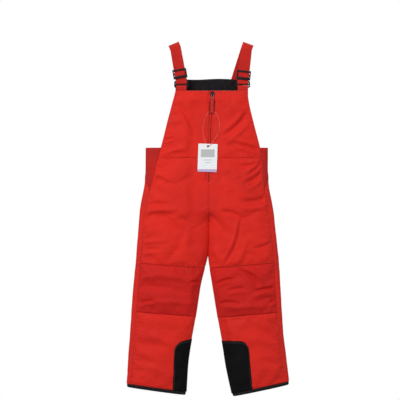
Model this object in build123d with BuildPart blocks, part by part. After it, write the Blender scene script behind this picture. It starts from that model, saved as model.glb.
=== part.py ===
from build123d import *
from collections import namedtuple
import math
import os

# Child's padded bib ski pants, hanging by their braces. Millimetres, +Z up.
# The origin is the top of the hanger bar, midway between the two braces. The front faces -Y,
# and "left" is the wearer's left, which is +X.

# ---- heights ----
fold_z = -13            # axis of each brace's fold over the hanger
ring_z = -109.5         # middle of the rectangular rings
back_top_z = -96
bib_top_z = -127
collar_bottom_z = -150
facing_bottom_z = -185
side_top_z = -281       # top of the stretch side panels
waist_z = -309
side_bottom_z = -395
zip_end_z = -380
rise_close_z = -390     # where the front edges meet below the zip
crotch_z = -471
knee_z = -665
lining_end_z = -900
tube_end_z = -970

# ---- depths ----
front_top_y = -17.5
front_leg_y = -33
back_top_y = 17.2
back_waist_y = 28.5
back_seat_y = 32
back_knee_y = 20

# ---- thicknesses ----
cloth = 2.0
corner = 12             # bevel along the edges of the flattened tubes
side_seam = 12          # distance of the side seams behind the front face
joint_gap = 0.35        # half the gap where one body meets the next
seam_gap = 0.2
hem_height = 9
binding_extra = 1       # hem binding stands this proud of the cloth on both faces
guard_cloth = 1.2
reach = 400             # beyond every edge of the garment

# ---- edges across the bib and the back: (right, left) ----
bib_top_edges = (-86, 108)
side_top_edges = (-125, 145)
waist_edges = (-132.5, 148)
side_bottom_edges = (-155, 158)
back_top_edges = (-86, 95)
collar_edges = (-88, 104)
facing_top_edges = (-84, 106)
facing_bottom_edges = (-97, 118)
centre_x = 4            # centre seam at the crotch and up the seat

# ---- linings and other pieces inside: (near, far) depths under the outer face ----
torso_lining = (9, 11)
leg_lining = (6, 8)
gaiter = (8, 9.4)
gaiter_elastic = (7, 10)
bib_facing = (15.4, 17.4)
gaiter_top_z = -840
gaiter_bottom_z = -905
gaiter_elastic_z = -917
lining_lift = 6         # torso lining ends this far above the crotch
collar_cloth = 2
label_cloth = 0.7
label_x = (20, 48)
label_z = (-190, -140)
elastic_x = (-118, 130)
elastic_z = (-322, -297)
elastic_y = (23.4, 25)
gusset_x = (-24, 32)
gusset_cloth = 4

# ---- braces and their hardware ----
webbing = 2.2
webbing_width = 30
fold_radius = 13
ring_y = -8.6
ring_wire = 2.0
ring_width = 35         # between the middles of the side bars
ring_height = 15
ring_bar = 1.5          # radius of the ring's middle bar, between the two cloth loops
ring_bar_drop = 1.15    # middle bar below the ring's middle
loop_slack = 4.4        # inner radius of the webbing loop on the ring
adjuster_height = 25
adjuster_width = 38
adjuster_opening = 32
bar = 5
front_bar_depth = 2
middle_bar_depth = 1.8
adjuster_clearance = 0.3
adjuster_back = 2.1     # how far the adjuster stands behind the webbing's back
brace_back_end_z = -122
tail_lean = 4.6         # the doubled end comes this far forward, up to the adjuster
ear_slack = 0.5
ear_cloth = 1.8
ear_width = 28
ear_length = 33

Level = namedtuple("Level", "z right left")
Brace = namedtuple("Brace", "name fold_x slope ring_x back_x adjuster_x adjuster_z")
Leg = namedtuple("Leg", "name levels knee_top knee_bottom hem guard")

torso_levels = [
    Level(side_top_z, -167, 166),
    Level(waist_z, -167, 166),
    Level(side_bottom_z, -169, 167),
    Level(crotch_z + joint_gap, -185, 180),
]
braces = [
    Brace("right", -86, 22, -70.5, -66, -74.5, -81),
    Brace("left", 106, -20, 96, 71, 98, -85),
]
legs = [
    Leg(
        "right",
        [
            Level(crotch_z - joint_gap, -185, 3.5),
            Level(-578, -192, 1),
            Level(knee_z, -200, -21),
            Level(tube_end_z, -222, -64),
        ],
        knee_top=((-240, -590), (30, -609)),
        knee_bottom=((-240, -721), (30, -743)),
        hem=((-240, -925), (30, -961)),
        guard=[(-40, -797), (-72, -806), (-86, -816), (-92, -832), (-95, -990), (-20, -990)],
    ),
    Leg(
        "left",
        [
            Level(crotch_z - joint_gap, 4.5, 180),
            Level(-578, 5, 193),
            Level(knee_z, 18, 197),
            Level(tube_end_z, 76, 226),
        ],
        knee_top=((-30, -609), (240, -590)),
        knee_bottom=((-30, -745), (240, -722)),
        hem=((-30, -973), (240, -919)),
        guard=[(30, -803), (98, -804), (110, -811), (114, -826), (126, -990), (30, -990)],
    ),
]

# ---- the zip ----
zip_top_x = 14
zip_end_x = 3
zip_sink = 2.4          # middle of the zip below the front face
tape_width = 11
tape_half = 0.4
teeth_width = 2.4
teeth_half = 1.1
zip_gap = 0.6           # half the gap that the slider's post runs in
stop_half = 1.4
bottom_stop = (6, 4)
top_stop = (2.2, 2)
zip_guard_width = 30
zip_guard_depth = (3.2, 4.6)
zip_guard_extra = 5     # guard runs on below the zip
panel_edge = 5          # front edges stand this far from the zip's middle
slider_width = 9
slider_length = 12
slider_middle = 8.5     # slider's middle below the bib's top
wing_depths = (1.45, 2.7)
wing_edge = 1.1
wing_edge_length = 7
wing_edge_depth = 0.7
post = (0.5, 3)
arch_width = 2.4
arch_length = 5.6
arch_height = 3.6
arch_opening = (2.8, 2.6)
pivot_drop = 10
pivot_height = 4.2      # bail's wire above the middle of the zip
bail_length = 12
bail_half_width = 3
bail_wire = 0.6
tab_length = 37
tab_width = 11
tab_thickness = 3.2
tab_neck = (4, 4.6)
tab_hole = 0.9
tab_start_gap = 1.5     # between the bail's lower bar and the wide part of the tab
tunnel = 3              # cross hole for the string, above the tab's lower end
bail_end = -pivot_drop - bail_length
string_along = bail_end - tab_start_gap - tab_length + tunnel
tag_width = 52
tag_height = 76
tag_card = 0.6
tag_clearance = 1.6     # between the front face and the back of the tag
tag_x = 0.4
tag_turn = -2
tag_hole = 3.2
tag_hole_drop = 6.5
tag_top_drop = 144      # tag's upper edge below the bib's top
string_width = 1.2

# the string runs from one side of the pull tab, through the tag's hole, to the other side
string_route = [
    (11.8, -21.88, -184.32),
    (20.5, -21.9, -184.7),
    (26.5, -22.3, -192),
    (32, -23, -208),
    (34.2, -24.2, -228),
    (26, -25.8, -250),
    (14, -27.2, -267),
    (5, -27.6, -278.6),
    (-1.8, -25.1, -275.8),
    (-7, -24.7, -262.5),
    (-12.8, -24, -242),
    (-12.2, -23.3, -223),
    (-7.5, -22.7, -206),
    (-1, -22.1, -193),
    (2.5, -21.87, -183.95),
    (11.2, -21.88, -184.29),
]

front_slope = (front_top_y - front_leg_y) / (bib_top_z - crotch_z)
back_slope = (back_waist_y - back_top_y) / (back_top_z - waist_z)
front_plane = Plane(
    origin=(0, front_top_y, bib_top_z), x_dir=(1, 0, 0), z_dir=(0, -1, front_slope)
)
back_plane = Plane(
    origin=(0, back_top_y, back_top_z), x_dir=(-1, 0, 0), z_dir=(0, 1, back_slope)
)
zip_turn = math.degrees(math.atan((zip_top_x - zip_end_x) / (bib_top_z - zip_end_z)))
zip_length = (bib_top_z - zip_end_z) * math.hypot(1, front_slope)


def turned(plane, point, turn):
    """A plane moved to one of its own points and turned there within itself, in degrees."""
    turn = math.radians(turn)
    x_dir = plane.x_dir * math.cos(turn) + plane.y_dir * math.sin(turn)
    return Plane(origin=plane.from_local_coords(point), x_dir=x_dir, z_dir=plane.z_dir)


zip_plane = turned(front_plane, (zip_top_x, 0, -zip_sink), -zip_turn)

os.makedirs("parts", exist_ok=True)


def save(part, name):
    """Label one finished piece and write it."""
    part.label = name
    export_step(part, f"parts/{name}.step")


def between(value, low, high):
    """Piecewise straight interpolation between two (position, value) pairs."""
    share = (value - low[0]) / (high[0] - low[0])
    return low[1] + share * (high[1] - low[1])


def front_y(z):
    """Front face: one flat slope from the bib's top to the crotch, then upright."""
    return front_top_y + front_slope * (max(z, crotch_z) - bib_top_z)


def back_y(z):
    """Back face: straight runs from the back's top to the knees."""
    runs = [
        (back_top_z, back_top_y),
        (waist_z, back_waist_y),
        (side_bottom_z, back_seat_y),
        (crotch_z, back_seat_y),
        (knee_z, back_knee_y),
        (tube_end_z, back_knee_y),
    ]
    for low, high in zip(runs, runs[1:]):
        if z >= high[0]:
            return between(z, low, high)
    return back_knee_y


def zip_x(z):
    """The zip leans a little, so its place across the front depends on height."""
    return between(z, (bib_top_z, zip_top_x), (zip_end_z, zip_end_x))


def on_front(x, z):
    """A point of the front face, in the front plane's own coordinates."""
    return (x, (z - bib_top_z) * math.hypot(1, front_slope))


def on_back(x, z):
    """The same for the back; its plane is seen from behind, so x is turned round."""
    return (-x, (z - back_top_z) * math.hypot(1, back_slope))


def section(level, inset):
    """Flattened tube's section at one height: a rectangle with bevelled corners."""
    low_x = level.right + inset
    high_x = level.left - inset
    low_y = front_y(level.z) + inset
    high_y = back_y(level.z) - inset
    bevel = corner - inset * (2 - math.sqrt(2))
    Polygon(
        (low_x + bevel, low_y),
        (high_x - bevel, low_y),
        (high_x, low_y + bevel),
        (high_x, high_y - bevel),
        (high_x - bevel, high_y),
        (low_x + bevel, high_y),
        (low_x, high_y - bevel),
        (low_x, low_y + bevel),
        align=None,
    )


def tube(levels, outer, inner):
    """Cloth tube through the given levels, between two insets from the outer face."""
    with BuildPart() as wall:
        for level in levels:
            with BuildSketch(Plane.XY.offset(level.z)):
                section(level, outer)
        loft(ruled=True)
        for level in levels:
            with BuildSketch(Plane.XY.offset(level.z)):
                section(level, inner)
        loft(ruled=True, mode=Mode.SUBTRACT)
    return wall.part


def cut(solid, plane, outline, mode=Mode.INTERSECT):
    """Keep, or take away, what lies inside an outline drawn on a plane."""
    with BuildPart() as piece:
        add(solid)
        with BuildSketch(plane):
            Polygon(*outline, align=None)
        extrude(amount=reach, both=True, mode=mode)
    return piece.part


def slab(plane, outline, near, far):
    """Flat cloth panel with its outline on a plane, between two heights above it."""
    with BuildPart() as piece:
        with BuildSketch(plane.offset(near)):
            Polygon(*outline, align=None)
        extrude(amount=far - near)
    return piece.part


def block(plane, across, along, near, far):
    """Box in a plane's coordinates, given by its lowest and highest values."""
    outline = [
        (across[0], along[0]),
        (across[1], along[0]),
        (across[1], along[1]),
        (across[0], along[1]),
    ]
    return slab(plane, outline, near, far)


# ---- bib, front rise, side panels, seat: the outer cloth of the torso ----
sides = (("right", -1, 0), ("left", 1, 1))      # name, sign of x, place in an edge pair


def torso_shell():
    shell = tube(torso_levels, 0, cloth)
    over_top = side_top_z + 1
    for name, side, place in sides:
        outline = [
            (side * reach, over_top),
            (side_top_edges[place], over_top),
            (side_bottom_edges[place], side_bottom_z),
            (side * reach, side_bottom_z),
        ]
        save(cut(shell, Plane.XZ, outline), f"side_panel_{name}")
        shell = cut(shell, Plane.XZ, outline, Mode.SUBTRACT)

    # front below the waist seam, up to the side seams
    front = cut(
        shell,
        Plane.YZ,
        [
            (-reach, waist_z),
            (front_y(waist_z) + side_seam, waist_z),
            (front_leg_y + side_seam, crotch_z),
            (-reach, crotch_z),
        ],
    )
    seat = cut(
        shell,
        Plane.YZ,
        [
            (reach, waist_z),
            (front_y(waist_z) + side_seam, waist_z),
            (front_leg_y + side_seam, crotch_z),
            (reach, crotch_z),
        ],
    )
    for name, side, _ in sides:
        centre_front = [
            (zip_x(waist_z) + side * panel_edge, waist_z),
            (zip_x(zip_end_z) + side * panel_edge, zip_end_z),
            (zip_end_x, rise_close_z),
            (centre_x, crotch_z),
            (side * reach, crotch_z),
            (side * reach, waist_z),
        ]
        save(cut(front, Plane.XZ, centre_front), f"front_rise_{name}")
        centre_back = [
            (centre_x, waist_z),
            (centre_x, crotch_z),
            (side * reach, crotch_z),
            (side * reach, waist_z),
        ]
        save(cut(seat, Plane.XZ, centre_back), f"back_seat_{name}")


def bib_panels():
    for name, side, place in sides:
        outline = [
            on_front(zip_x(bib_top_z) + side * panel_edge, bib_top_z),
            on_front(bib_top_edges[place], bib_top_z),
            on_front(side_top_edges[place], side_top_z),
            on_front(waist_edges[place], waist_z + seam_gap),
            on_front(zip_x(waist_z) + side * panel_edge, waist_z + seam_gap),
        ]
        save(slab(front_plane, outline, -cloth, 0), f"front_bib_{name}")


def back_panels():
    edges = [
        (back_top_edges, back_top_z),
        (collar_edges, collar_bottom_z),
        (side_top_edges, side_top_z),
        (waist_edges, waist_z + seam_gap),
    ]
    outline = [on_back(left, z) for (_, left), z in edges]
    outline += [on_back(right, z) for (right, _), z in reversed(edges)]
    save(slab(back_plane, outline, -cloth, 0), "back_panel")

    # dark fleece collar inside the back's upper edge
    collar = [
        (back_top_edges[0], back_top_z),
        (back_top_edges[1], back_top_z),
        (collar_edges[1], collar_bottom_z),
        (collar_edges[0], collar_bottom_z),
    ]
    collar_face = collar_cloth - fold_radius
    save(slab(Plane.XZ, collar, -fold_radius, collar_face), "back_collar")

    # blank care label hanging from the collar's lower edge
    label = block(Plane.XZ, label_x, label_z, collar_face, collar_face + label_cloth)
    save(label, "care_label")


def inner_pieces():
    facing = [
        on_front(facing_top_edges[0], bib_top_z),
        on_front(facing_top_edges[1], bib_top_z),
        on_front(facing_bottom_edges[1], facing_bottom_z),
        on_front(facing_bottom_edges[0], facing_bottom_z),
    ]
    save(slab(front_plane, facing, -bib_facing[1], -bib_facing[0]), "bib_facing")

    lining_end = crotch_z + lining_lift
    lining_levels = [level._replace(z=max(level.z, lining_end)) for level in torso_levels]
    save(tube(lining_levels, *torso_lining), "torso_lining")

    elastic = block(Plane.XZ, elastic_x, elastic_z, -elastic_y[1], -elastic_y[0])
    save(elastic, "waist_elastic")

    gusset = block(
        Plane.XY.offset(crotch_z),
        gusset_x,
        (front_leg_y + cloth + seam_gap, back_seat_y - cloth),
        joint_gap,
        gusset_cloth,
    )
    save(gusset, "crotch_gusset")


# ---- zip: tapes, teeth, stops, guard, slider, puller ----
def zip_pieces():
    teeth_edge = zip_gap + teeth_width
    teeth_along = (-zip_length + bottom_stop[1], -top_stop[1])
    for name, side, _ in sides:
        teeth_across = sorted((side * zip_gap, side * teeth_edge))
        tape_across = sorted((side * teeth_edge, side * (teeth_edge + tape_width)))
        teeth = block(zip_plane, teeth_across, teeth_along, -teeth_half, teeth_half)
        tape = block(zip_plane, tape_across, (-zip_length, 0), -tape_half, tape_half)
        save(teeth, f"zip_teeth_{name}")
        save(tape, f"zip_tape_{name}")

    # bottom box stop and the two little top stops
    with BuildPart() as stops:
        with BuildSketch(zip_plane.offset(-stop_half)):
            with Locations((0, -zip_length + bottom_stop[1] / 2)):
                Rectangle(*bottom_stop)
            for side in (-1, 1):
                with Locations((side * (teeth_edge - top_stop[0] / 2), -top_stop[1] / 2)):
                    Rectangle(*top_stop)
        extrude(amount=2 * stop_half)
    save(stops.part, "zip_stops")

    guard_across = (-zip_guard_width / 2, zip_guard_width / 2)
    guard_along = (-zip_length - zip_guard_extra, 0)
    near, far = zip_guard_depth
    save(block(zip_plane, guard_across, guard_along, -far, -near), "zip_guard")


def zip_slider():
    """Two wings joined by a thin post, with edges that hold the teeth, and an arch on top."""
    inner, outer = wing_depths
    edge_x = (slider_width - wing_edge) / 2
    post_y = -slider_middle + slider_length / 2 - post[1] / 2 - 1
    with BuildPart() as slider:
        for near, far in ((inner, outer), (-outer, -inner)):
            with BuildSketch(zip_plane.offset(near)):
                with Locations((0, -slider_middle)):
                    RectangleRounded(slider_width, slider_length, 2)
            extrude(amount=far - near)
        for near, far in ((wing_edge_depth, inner), (-inner, -wing_edge_depth)):
            with BuildSketch(zip_plane.offset(near)):
                for side in (-1, 1):
                    with Locations((side * edge_x, -slider_middle)):
                        Rectangle(wing_edge, wing_edge_length)
            extrude(amount=far - near)
        with BuildSketch(zip_plane.offset(-inner)):
            with Locations((0, post_y)):
                Rectangle(*post)
        extrude(amount=2 * inner)
        # arch that the puller's wire hangs in
        with BuildSketch(zip_plane.offset(outer)):
            with Locations((0, -pivot_drop)):
                Rectangle(arch_width, arch_length)
        extrude(amount=arch_height)
        with BuildSketch(zip_plane.offset(outer)):
            with Locations((0, -pivot_drop)):
                Rectangle(arch_width, arch_opening[0])
        extrude(amount=arch_opening[1], mode=Mode.SUBTRACT)
    save(slider.part, "zip_slider")


def zip_puller():
    """Wire bail through the slider's arch, and the long flat pull tab on it."""
    with BuildPart() as bail:
        with BuildLine(zip_plane.offset(pivot_height)) as path:
            FilletPolyline(
                (bail_half_width, -pivot_drop),
                (bail_half_width, bail_end),
                (-bail_half_width, bail_end),
                (-bail_half_width, -pivot_drop),
                radius=1,
                close=True,
            )
        with BuildSketch(Plane(origin=path.line @ 0, z_dir=path.line % 0)):
            Circle(bail_wire)
        sweep()
    save(bail.part, "zip_bail")

    tab_middle = bail_end - tab_start_gap - tab_length / 2
    with BuildPart() as tab:
        with BuildSketch(zip_plane.offset(pivot_height - tab_thickness / 2)):
            with Locations((0, tab_middle)):
                RectangleRounded(tab_width, tab_length, 2.5)
            with Locations((0, bail_end - bail_wire)):
                Rectangle(*tab_neck)
        extrude(amount=tab_thickness)
        # cross holes: one for the bail's lower bar, one for the string
        for along in (bail_end, string_along):
            hole_start = zip_plane.from_local_coords((-tab_width, along, pivot_height))
            with BuildSketch(Plane(origin=hole_start, z_dir=zip_plane.x_dir)):
                Circle(tab_hole)
            extrude(amount=2 * tab_width, mode=Mode.SUBTRACT)
    save(tab.part, "zip_tab")


def swing_tag():
    """Card tag on its string, which goes through the pull tab's cross hole."""
    tag_middle = on_front(0, bib_top_z - tag_top_drop)[1] - tag_height / 2
    with BuildPart() as tag:
        with BuildSketch(front_plane.offset(tag_clearance)):
            with Locations((tag_x, tag_middle)):
                with Locations(Location((0, 0, 0), (0, 0, 1), tag_turn)):
                    RectangleRounded(tag_width, tag_height, 2)
                    with Locations((0, tag_height / 2 - tag_hole_drop)):
                        Circle(tag_hole, mode=Mode.SUBTRACT)
        extrude(amount=tag_card)
    save(tag.part, "swing_tag")

    with BuildPart() as string:
        with BuildLine() as route:
            FilletPolyline(*string_route, radius=string_radii())
        with BuildSketch(Plane(origin=route.line @ 0, z_dir=route.line % 0)):
            Circle(string_width / 2)
        sweep()
    print(f"string length {route.wires()[0].length:.1f}")
    save(string.part, "tag_string")


def string_radii():
    """Bend radii that leave a straight stretch on both sides of every bend."""
    points = [Vector(point) for point in string_route]
    radii = []
    for before, here, after in zip(points, points[1:], points[2:]):
        arriving = here - before
        leaving = after - here
        turn = math.radians(arriving.get_angle(leaving))
        shorter = min(arriving.length, leaving.length)
        radii.append(0.45 * shorter / math.tan(turn / 2))
    return radii


# ---- braces ----
def brace_webbing(brace):
    """Front run, fold over the hanger and back run, with the loop round the ring."""
    half = webbing_width / 2
    rise = math.radians(brace.slope)
    top = [
        (brace.fold_x + side * half * math.cos(rise), fold_z + side * half * math.sin(rise))
        for side in (-1, 1)
    ]
    loop_z = ring_z + ring_height / 2
    outer_loop = loop_slack + webbing
    with BuildPart() as strap:
        with BuildSketch(Plane.XZ.offset(fold_radius)):
            Polygon(
                *top, (brace.ring_x + half, loop_z), (brace.ring_x - half, loop_z), align=None
            )
        extrude(amount=webbing)
        with BuildSketch(Plane.XZ.offset(-fold_radius - webbing)):
            Polygon(
                *top,
                (brace.back_x + half, brace_back_end_z),
                (brace.back_x - half, brace_back_end_z),
                align=None,
            )
        extrude(amount=webbing)
        along = Vector(math.cos(rise), 0, math.sin(rise))
        start = Vector(brace.fold_x, 0, fold_z) - along * half
        with BuildSketch(Plane(origin=start, x_dir=(0, 1, 0), z_dir=along)):
            Circle(fold_radius + webbing)
            Circle(fold_radius, mode=Mode.SUBTRACT)
            with Locations((0, fold_radius)):
                Rectangle(4 * fold_radius, 2 * fold_radius, mode=Mode.INTERSECT)
        extrude(amount=webbing_width)
        with BuildSketch(Plane.YZ.offset(brace.ring_x - half)):
            with Locations((ring_y, loop_z)):
                Circle(outer_loop)
                Circle(loop_slack, mode=Mode.SUBTRACT)
                with Locations((0, -fold_radius)):
                    Rectangle(4 * fold_radius, 2 * fold_radius, mode=Mode.INTERSECT)
        extrude(amount=webbing_width)
    save(strap.part, f"brace_{brace.name}")

    # doubled end of the webbing, from the ring back up to the adjuster's middle bar
    with BuildPart() as tail:
        with BuildSketch(Plane.YZ.offset(brace.ring_x - half + 1)):
            Polygon(
                (ring_y + loop_slack, loop_z),
                (ring_y + outer_loop, loop_z),
                (ring_y + outer_loop - tail_lean, brace.adjuster_z + bar),
                (ring_y + loop_slack - tail_lean, brace.adjuster_z + bar),
                align=None,
            )
        extrude(amount=webbing_width - 2)
    save(tail.part, f"brace_end_{brace.name}")


def brace_adjuster(brace):
    """Three-bar slide: two bars in front of the webbing and the middle one behind it."""
    lean = math.degrees(
        math.atan((brace.fold_x - brace.ring_x) / (fold_z - ring_z - ring_height / 2))
    )
    face = turned(Plane.XZ, (brace.adjuster_x, brace.adjuster_z, fold_radius), -lean)
    rail = (adjuster_width - adjuster_opening) / 2
    with BuildPart() as adjuster:
        with BuildSketch(face.offset(webbing + adjuster_clearance)):
            for side in (-1, 1):
                with Locations((0, side * (adjuster_height - bar) / 2)):
                    Rectangle(adjuster_width, bar)
        extrude(amount=front_bar_depth)
        with BuildSketch(face.offset(-adjuster_back)):
            for side in (-1, 1):
                with Locations((side * (adjuster_width - rail) / 2, 0)):
                    Rectangle(rail, adjuster_height)
        extrude(amount=adjuster_back + webbing + adjuster_clearance + front_bar_depth)
        with BuildSketch(face.offset(-adjuster_back)):
            Rectangle(adjuster_width, bar)
        extrude(amount=middle_bar_depth)
    save(adjuster.part, f"adjuster_{brace.name}")


def brace_ring(brace):
    """Rectangular ring with a middle bar, between the webbing's loop and the bib's ear."""
    half = ring_width / 2
    low_z = ring_z - ring_height / 2
    high_z = ring_z + ring_height / 2
    with BuildPart() as ring:
        with BuildLine(Plane.XZ.offset(-ring_y)) as path:
            FilletPolyline(
                (brace.ring_x + half, high_z),
                (brace.ring_x + half, low_z),
                (brace.ring_x - half, low_z),
                (brace.ring_x - half, high_z),
                radius=3,
                close=True,
            )
        with BuildSketch(Plane(origin=path.line @ 0, z_dir=path.line % 0)):
            Circle(ring_wire)
        sweep()
        with BuildSketch(Plane.YZ.offset(brace.ring_x - half)):
            with Locations((ring_y, ring_z - ring_bar_drop)):
                Circle(ring_bar)
        extrude(amount=ring_width)
    save(ring.part, f"ring_{brace.name}")


def bib_ear(brace):
    """Folded cloth loop, sewn inside the bib's top hem, that carries the ring."""
    low_z = ring_z - ring_height / 2
    inner = ring_wire + ear_slack
    outer = inner + ear_cloth
    with BuildPart() as ear:
        with BuildSketch(Plane.YZ.offset(brace.ring_x - ear_width / 2)):
            for radius, mode in ((outer, Mode.ADD), (inner, Mode.SUBTRACT)):
                with Locations((ring_y, low_z)):
                    Circle(radius, mode=mode)
                with Locations((ring_y, low_z - ear_length / 2)):
                    Rectangle(2 * radius, ear_length, mode=mode)
        extrude(amount=ear_width)
    save(ear.part, f"ear_{brace.name}")


# ---- legs ----
def above(line):
    """Region above a slanting line that crosses the leg."""
    (low_x, low_z), (high_x, high_z) = line
    return [(low_x, low_z), (high_x, high_z), (high_x, reach), (low_x, reach)]


def below(line):
    """Region below a slanting line that crosses the leg."""
    (low_x, low_z), (high_x, high_z) = line
    return [(low_x, low_z), (high_x, high_z), (high_x, 3 * tube_end_z), (low_x, 3 * tube_end_z)]


def lowered(line, drop):
    """The same line, moved straight down."""
    return tuple((x, z - drop) for x, z in line)


def level_line(z):
    """A level line right across the garment."""
    return ((-reach, z), (reach, z))


def leg_pieces(leg):
    shell = tube(leg.levels, 0, cloth)
    seam = front_leg_y + side_seam
    deep = 3 * tube_end_z
    front = cut(shell, Plane.YZ, [(-reach, 0), (seam, 0), (seam, deep), (-reach, deep)])
    back = cut(shell, Plane.YZ, [(reach, 0), (seam, 0), (seam, deep), (reach, deep)])
    cuff = lowered(leg.hem, -hem_height)

    save(cut(front, Plane.XZ, above(leg.knee_top)), f"front_thigh_{leg.name}")
    knee = cut(cut(front, Plane.XZ, below(leg.knee_top)), Plane.XZ, above(leg.knee_bottom))
    save(knee, f"knee_panel_{leg.name}")
    shin_top = lowered(leg.knee_bottom, 2 * joint_gap)
    shin = cut(cut(front, Plane.XZ, below(shin_top)), Plane.XZ, above(cuff))
    save(shin, f"front_shin_{leg.name}")

    save(cut(back, Plane.XZ, above(level_line(knee_z + joint_gap))), f"back_thigh_{leg.name}")
    calf = cut(back, Plane.XZ, below(level_line(knee_z - joint_gap)))
    save(cut(calf, Plane.XZ, above(cuff)), f"back_shin_{leg.name}")

    # hem binding, a little thicker than the cloth that it holds
    binding_tube = tube(leg.levels, -binding_extra, cloth + binding_extra)
    binding = cut(binding_tube, Plane.XZ, above(leg.hem))
    save(cut(binding, Plane.XZ, below(cuff)), f"hem_band_{leg.name}")

    # scuff guard wraps the inner ankle on top of the cloth
    guard = cut(tube(leg.levels, -guard_cloth, 0), Plane.XZ, leg.guard)
    save(cut(guard, Plane.XZ, above(cuff)), f"scuff_guard_{leg.name}")

    lining = cut(tube(leg.levels, *leg_lining), Plane.XZ, above(level_line(lining_end_z)))
    upper = cut(lining, Plane.XZ, above(level_line(knee_z + joint_gap)))
    save(upper, f"thigh_lining_{leg.name}")
    lower = cut(lining, Plane.XZ, below(level_line(knee_z - joint_gap)))
    save(lower, f"shin_lining_{leg.name}")

    # snow gaiter hangs inside the shin, closed by an elastic cuff
    skirt = cut(tube(leg.levels, *gaiter), Plane.XZ, below(level_line(gaiter_top_z)))
    skirt = cut(skirt, Plane.XZ, above(level_line(gaiter_bottom_z)))
    save(skirt, f"snow_gaiter_{leg.name}")
    elastic = cut(tube(leg.levels, *gaiter_elastic), Plane.XZ, below(level_line(gaiter_bottom_z)))
    elastic = cut(elastic, Plane.XZ, above(level_line(gaiter_elastic_z)))
    save(elastic, f"gaiter_elastic_{leg.name}")


torso_shell()
bib_panels()
back_panels()
inner_pieces()
zip_pieces()
zip_slider()
zip_puller()
swing_tag()
for each_brace in braces:
    brace_webbing(each_brace)
    brace_adjuster(each_brace)
    brace_ring(each_brace)
    bib_ear(each_brace)
for each_leg in legs:
    leg_pieces(each_leg)
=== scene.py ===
import math

import bmesh
import bpy
import numpy as np
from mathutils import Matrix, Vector


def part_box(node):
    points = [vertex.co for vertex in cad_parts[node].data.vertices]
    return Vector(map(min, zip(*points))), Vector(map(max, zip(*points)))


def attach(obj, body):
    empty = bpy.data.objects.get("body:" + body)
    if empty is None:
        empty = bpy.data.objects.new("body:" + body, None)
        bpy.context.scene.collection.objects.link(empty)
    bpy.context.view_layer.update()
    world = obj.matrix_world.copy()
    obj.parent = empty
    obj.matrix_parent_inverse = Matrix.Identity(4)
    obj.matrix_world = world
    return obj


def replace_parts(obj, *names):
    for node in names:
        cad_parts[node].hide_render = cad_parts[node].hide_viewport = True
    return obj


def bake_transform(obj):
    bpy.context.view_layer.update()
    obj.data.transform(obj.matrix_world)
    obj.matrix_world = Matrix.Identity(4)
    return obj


# Child's padded bib ski pants on their braces. Lengths below are millimetres in the part's
# frame, and become metres when a mesh is made. "Right" and "left" are the wearer's: the
# right side is -X, and the front faces -Y.

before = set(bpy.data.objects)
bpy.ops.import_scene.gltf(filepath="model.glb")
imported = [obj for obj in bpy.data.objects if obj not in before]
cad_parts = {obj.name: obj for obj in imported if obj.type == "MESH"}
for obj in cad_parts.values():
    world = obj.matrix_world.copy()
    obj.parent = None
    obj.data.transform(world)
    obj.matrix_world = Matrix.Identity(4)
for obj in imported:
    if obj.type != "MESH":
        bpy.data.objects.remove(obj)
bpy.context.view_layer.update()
MM = 0.001


def node_box(node):
    """A CAD node's lowest and highest corners, in millimetres."""
    low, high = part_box(node)
    return np.array(low) / MM, np.array(high) / MM


# ---- heights and seams, from the frame ----
BIB_TOP = node_box("front_bib_left")[1][2]
BACK_TOP = node_box("back_panel")[1][2]
WAIST = node_box("front_rise_left")[1][2]
SIDE_TOP = node_box("side_panel_left")[1][2]
SIDE_END = node_box("side_panel_left")[0][2]
CROTCH = node_box("front_rise_left")[0][2]
KNEE = node_box("back_shin_left")[1][2]
LEG_SPLIT = -600        # back of the leg: seam between its upper and lower piece
LINING_SPLIT = -618     # between the thigh's and the shin's lining, above the knee's bend
ZIP_END = node_box("zip_tape_left")[0][2]
FRONT_TOP_Y = node_box("front_bib_left")[1][1] - 2
FRONT_LEG_Y = node_box("front_thigh_left")[0][1]
BACK_TOP_Y = node_box("back_panel")[0][1] + 2
BACK_WAIST_Y = node_box("back_panel")[1][1]
SEAT_Y = node_box("back_seat_left")[1][1]
CALF_Y = node_box("back_shin_left")[1][1]
TAG_BOX = node_box("swing_tag")
TAG_X = (TAG_BOX[0][0] + TAG_BOX[1][0]) / 2
TAG_HALF = (TAG_BOX[1][0] - TAG_BOX[0][0]) / 2
TAG_TOP = node_box("zip_tab")[1][2]
ZIP_TRAVEL = 190        # how far the slider, its tab and the tag run down with the zip
TAG_DRIFT = 4           # the zip leans, so the middle of the tag's run is this far to the right
CALM_MARGIN = 32        # cloth kept flat beside the tag
CALM_FADE = 30          # over this distance flat cloth turns into creased cloth
TAG_END = TAG_BOX[0][2] - ZIP_TRAVEL - CALM_FADE
HEM_HEIGHT = 9
SIDE_INSET = 13         # outseam, inside the outline
CENTRE_X = 4            # centre seam at the crotch and up the seat
LEGS_START = -448       # the torso's shape starts turning into the legs' here
HIP_FADE = 95           # height over which it does so at the hips
CROTCH_FADE = 35        # and at the crotch
CROTCH_WIDTH = 45
TORSO_POWER = 2.7       # how square the flattened torso is, and the legs
LEG_POWER = 2.4
CLOTH = 1.8             # thickness of a padded panel's cloth
BINDING = 2.6           # thickness of the hem binding
SPACING = 2.4           # size of the cloth's grid
ZIP_GAP = 5.4           # from the zip's middle to each front edge, so that the slider passes
PUFF_SHARE = 1.8        # fullness that the outer edges leave room for
CREASE_DEPTH = 1.9      # scale of every crease's depth, and of its width
CREASE_WIDTH = 0.8
CREASE_BOW = 0.06       # how far a crease bows, as a share of its length
ROLL_HEIGHT = 0.55      # the roll of cloth beside a crease: height as a share of the depth,
ROLL_PLACE = 1.8        # and its place and width as shares of the crease's width
ROLL_WIDTH = 1.4
GROOVE_LIMIT = 4        # deepest that a crease may go, above the lining
PUCKER = 0.45           # height of the small puckers beside the seams
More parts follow.
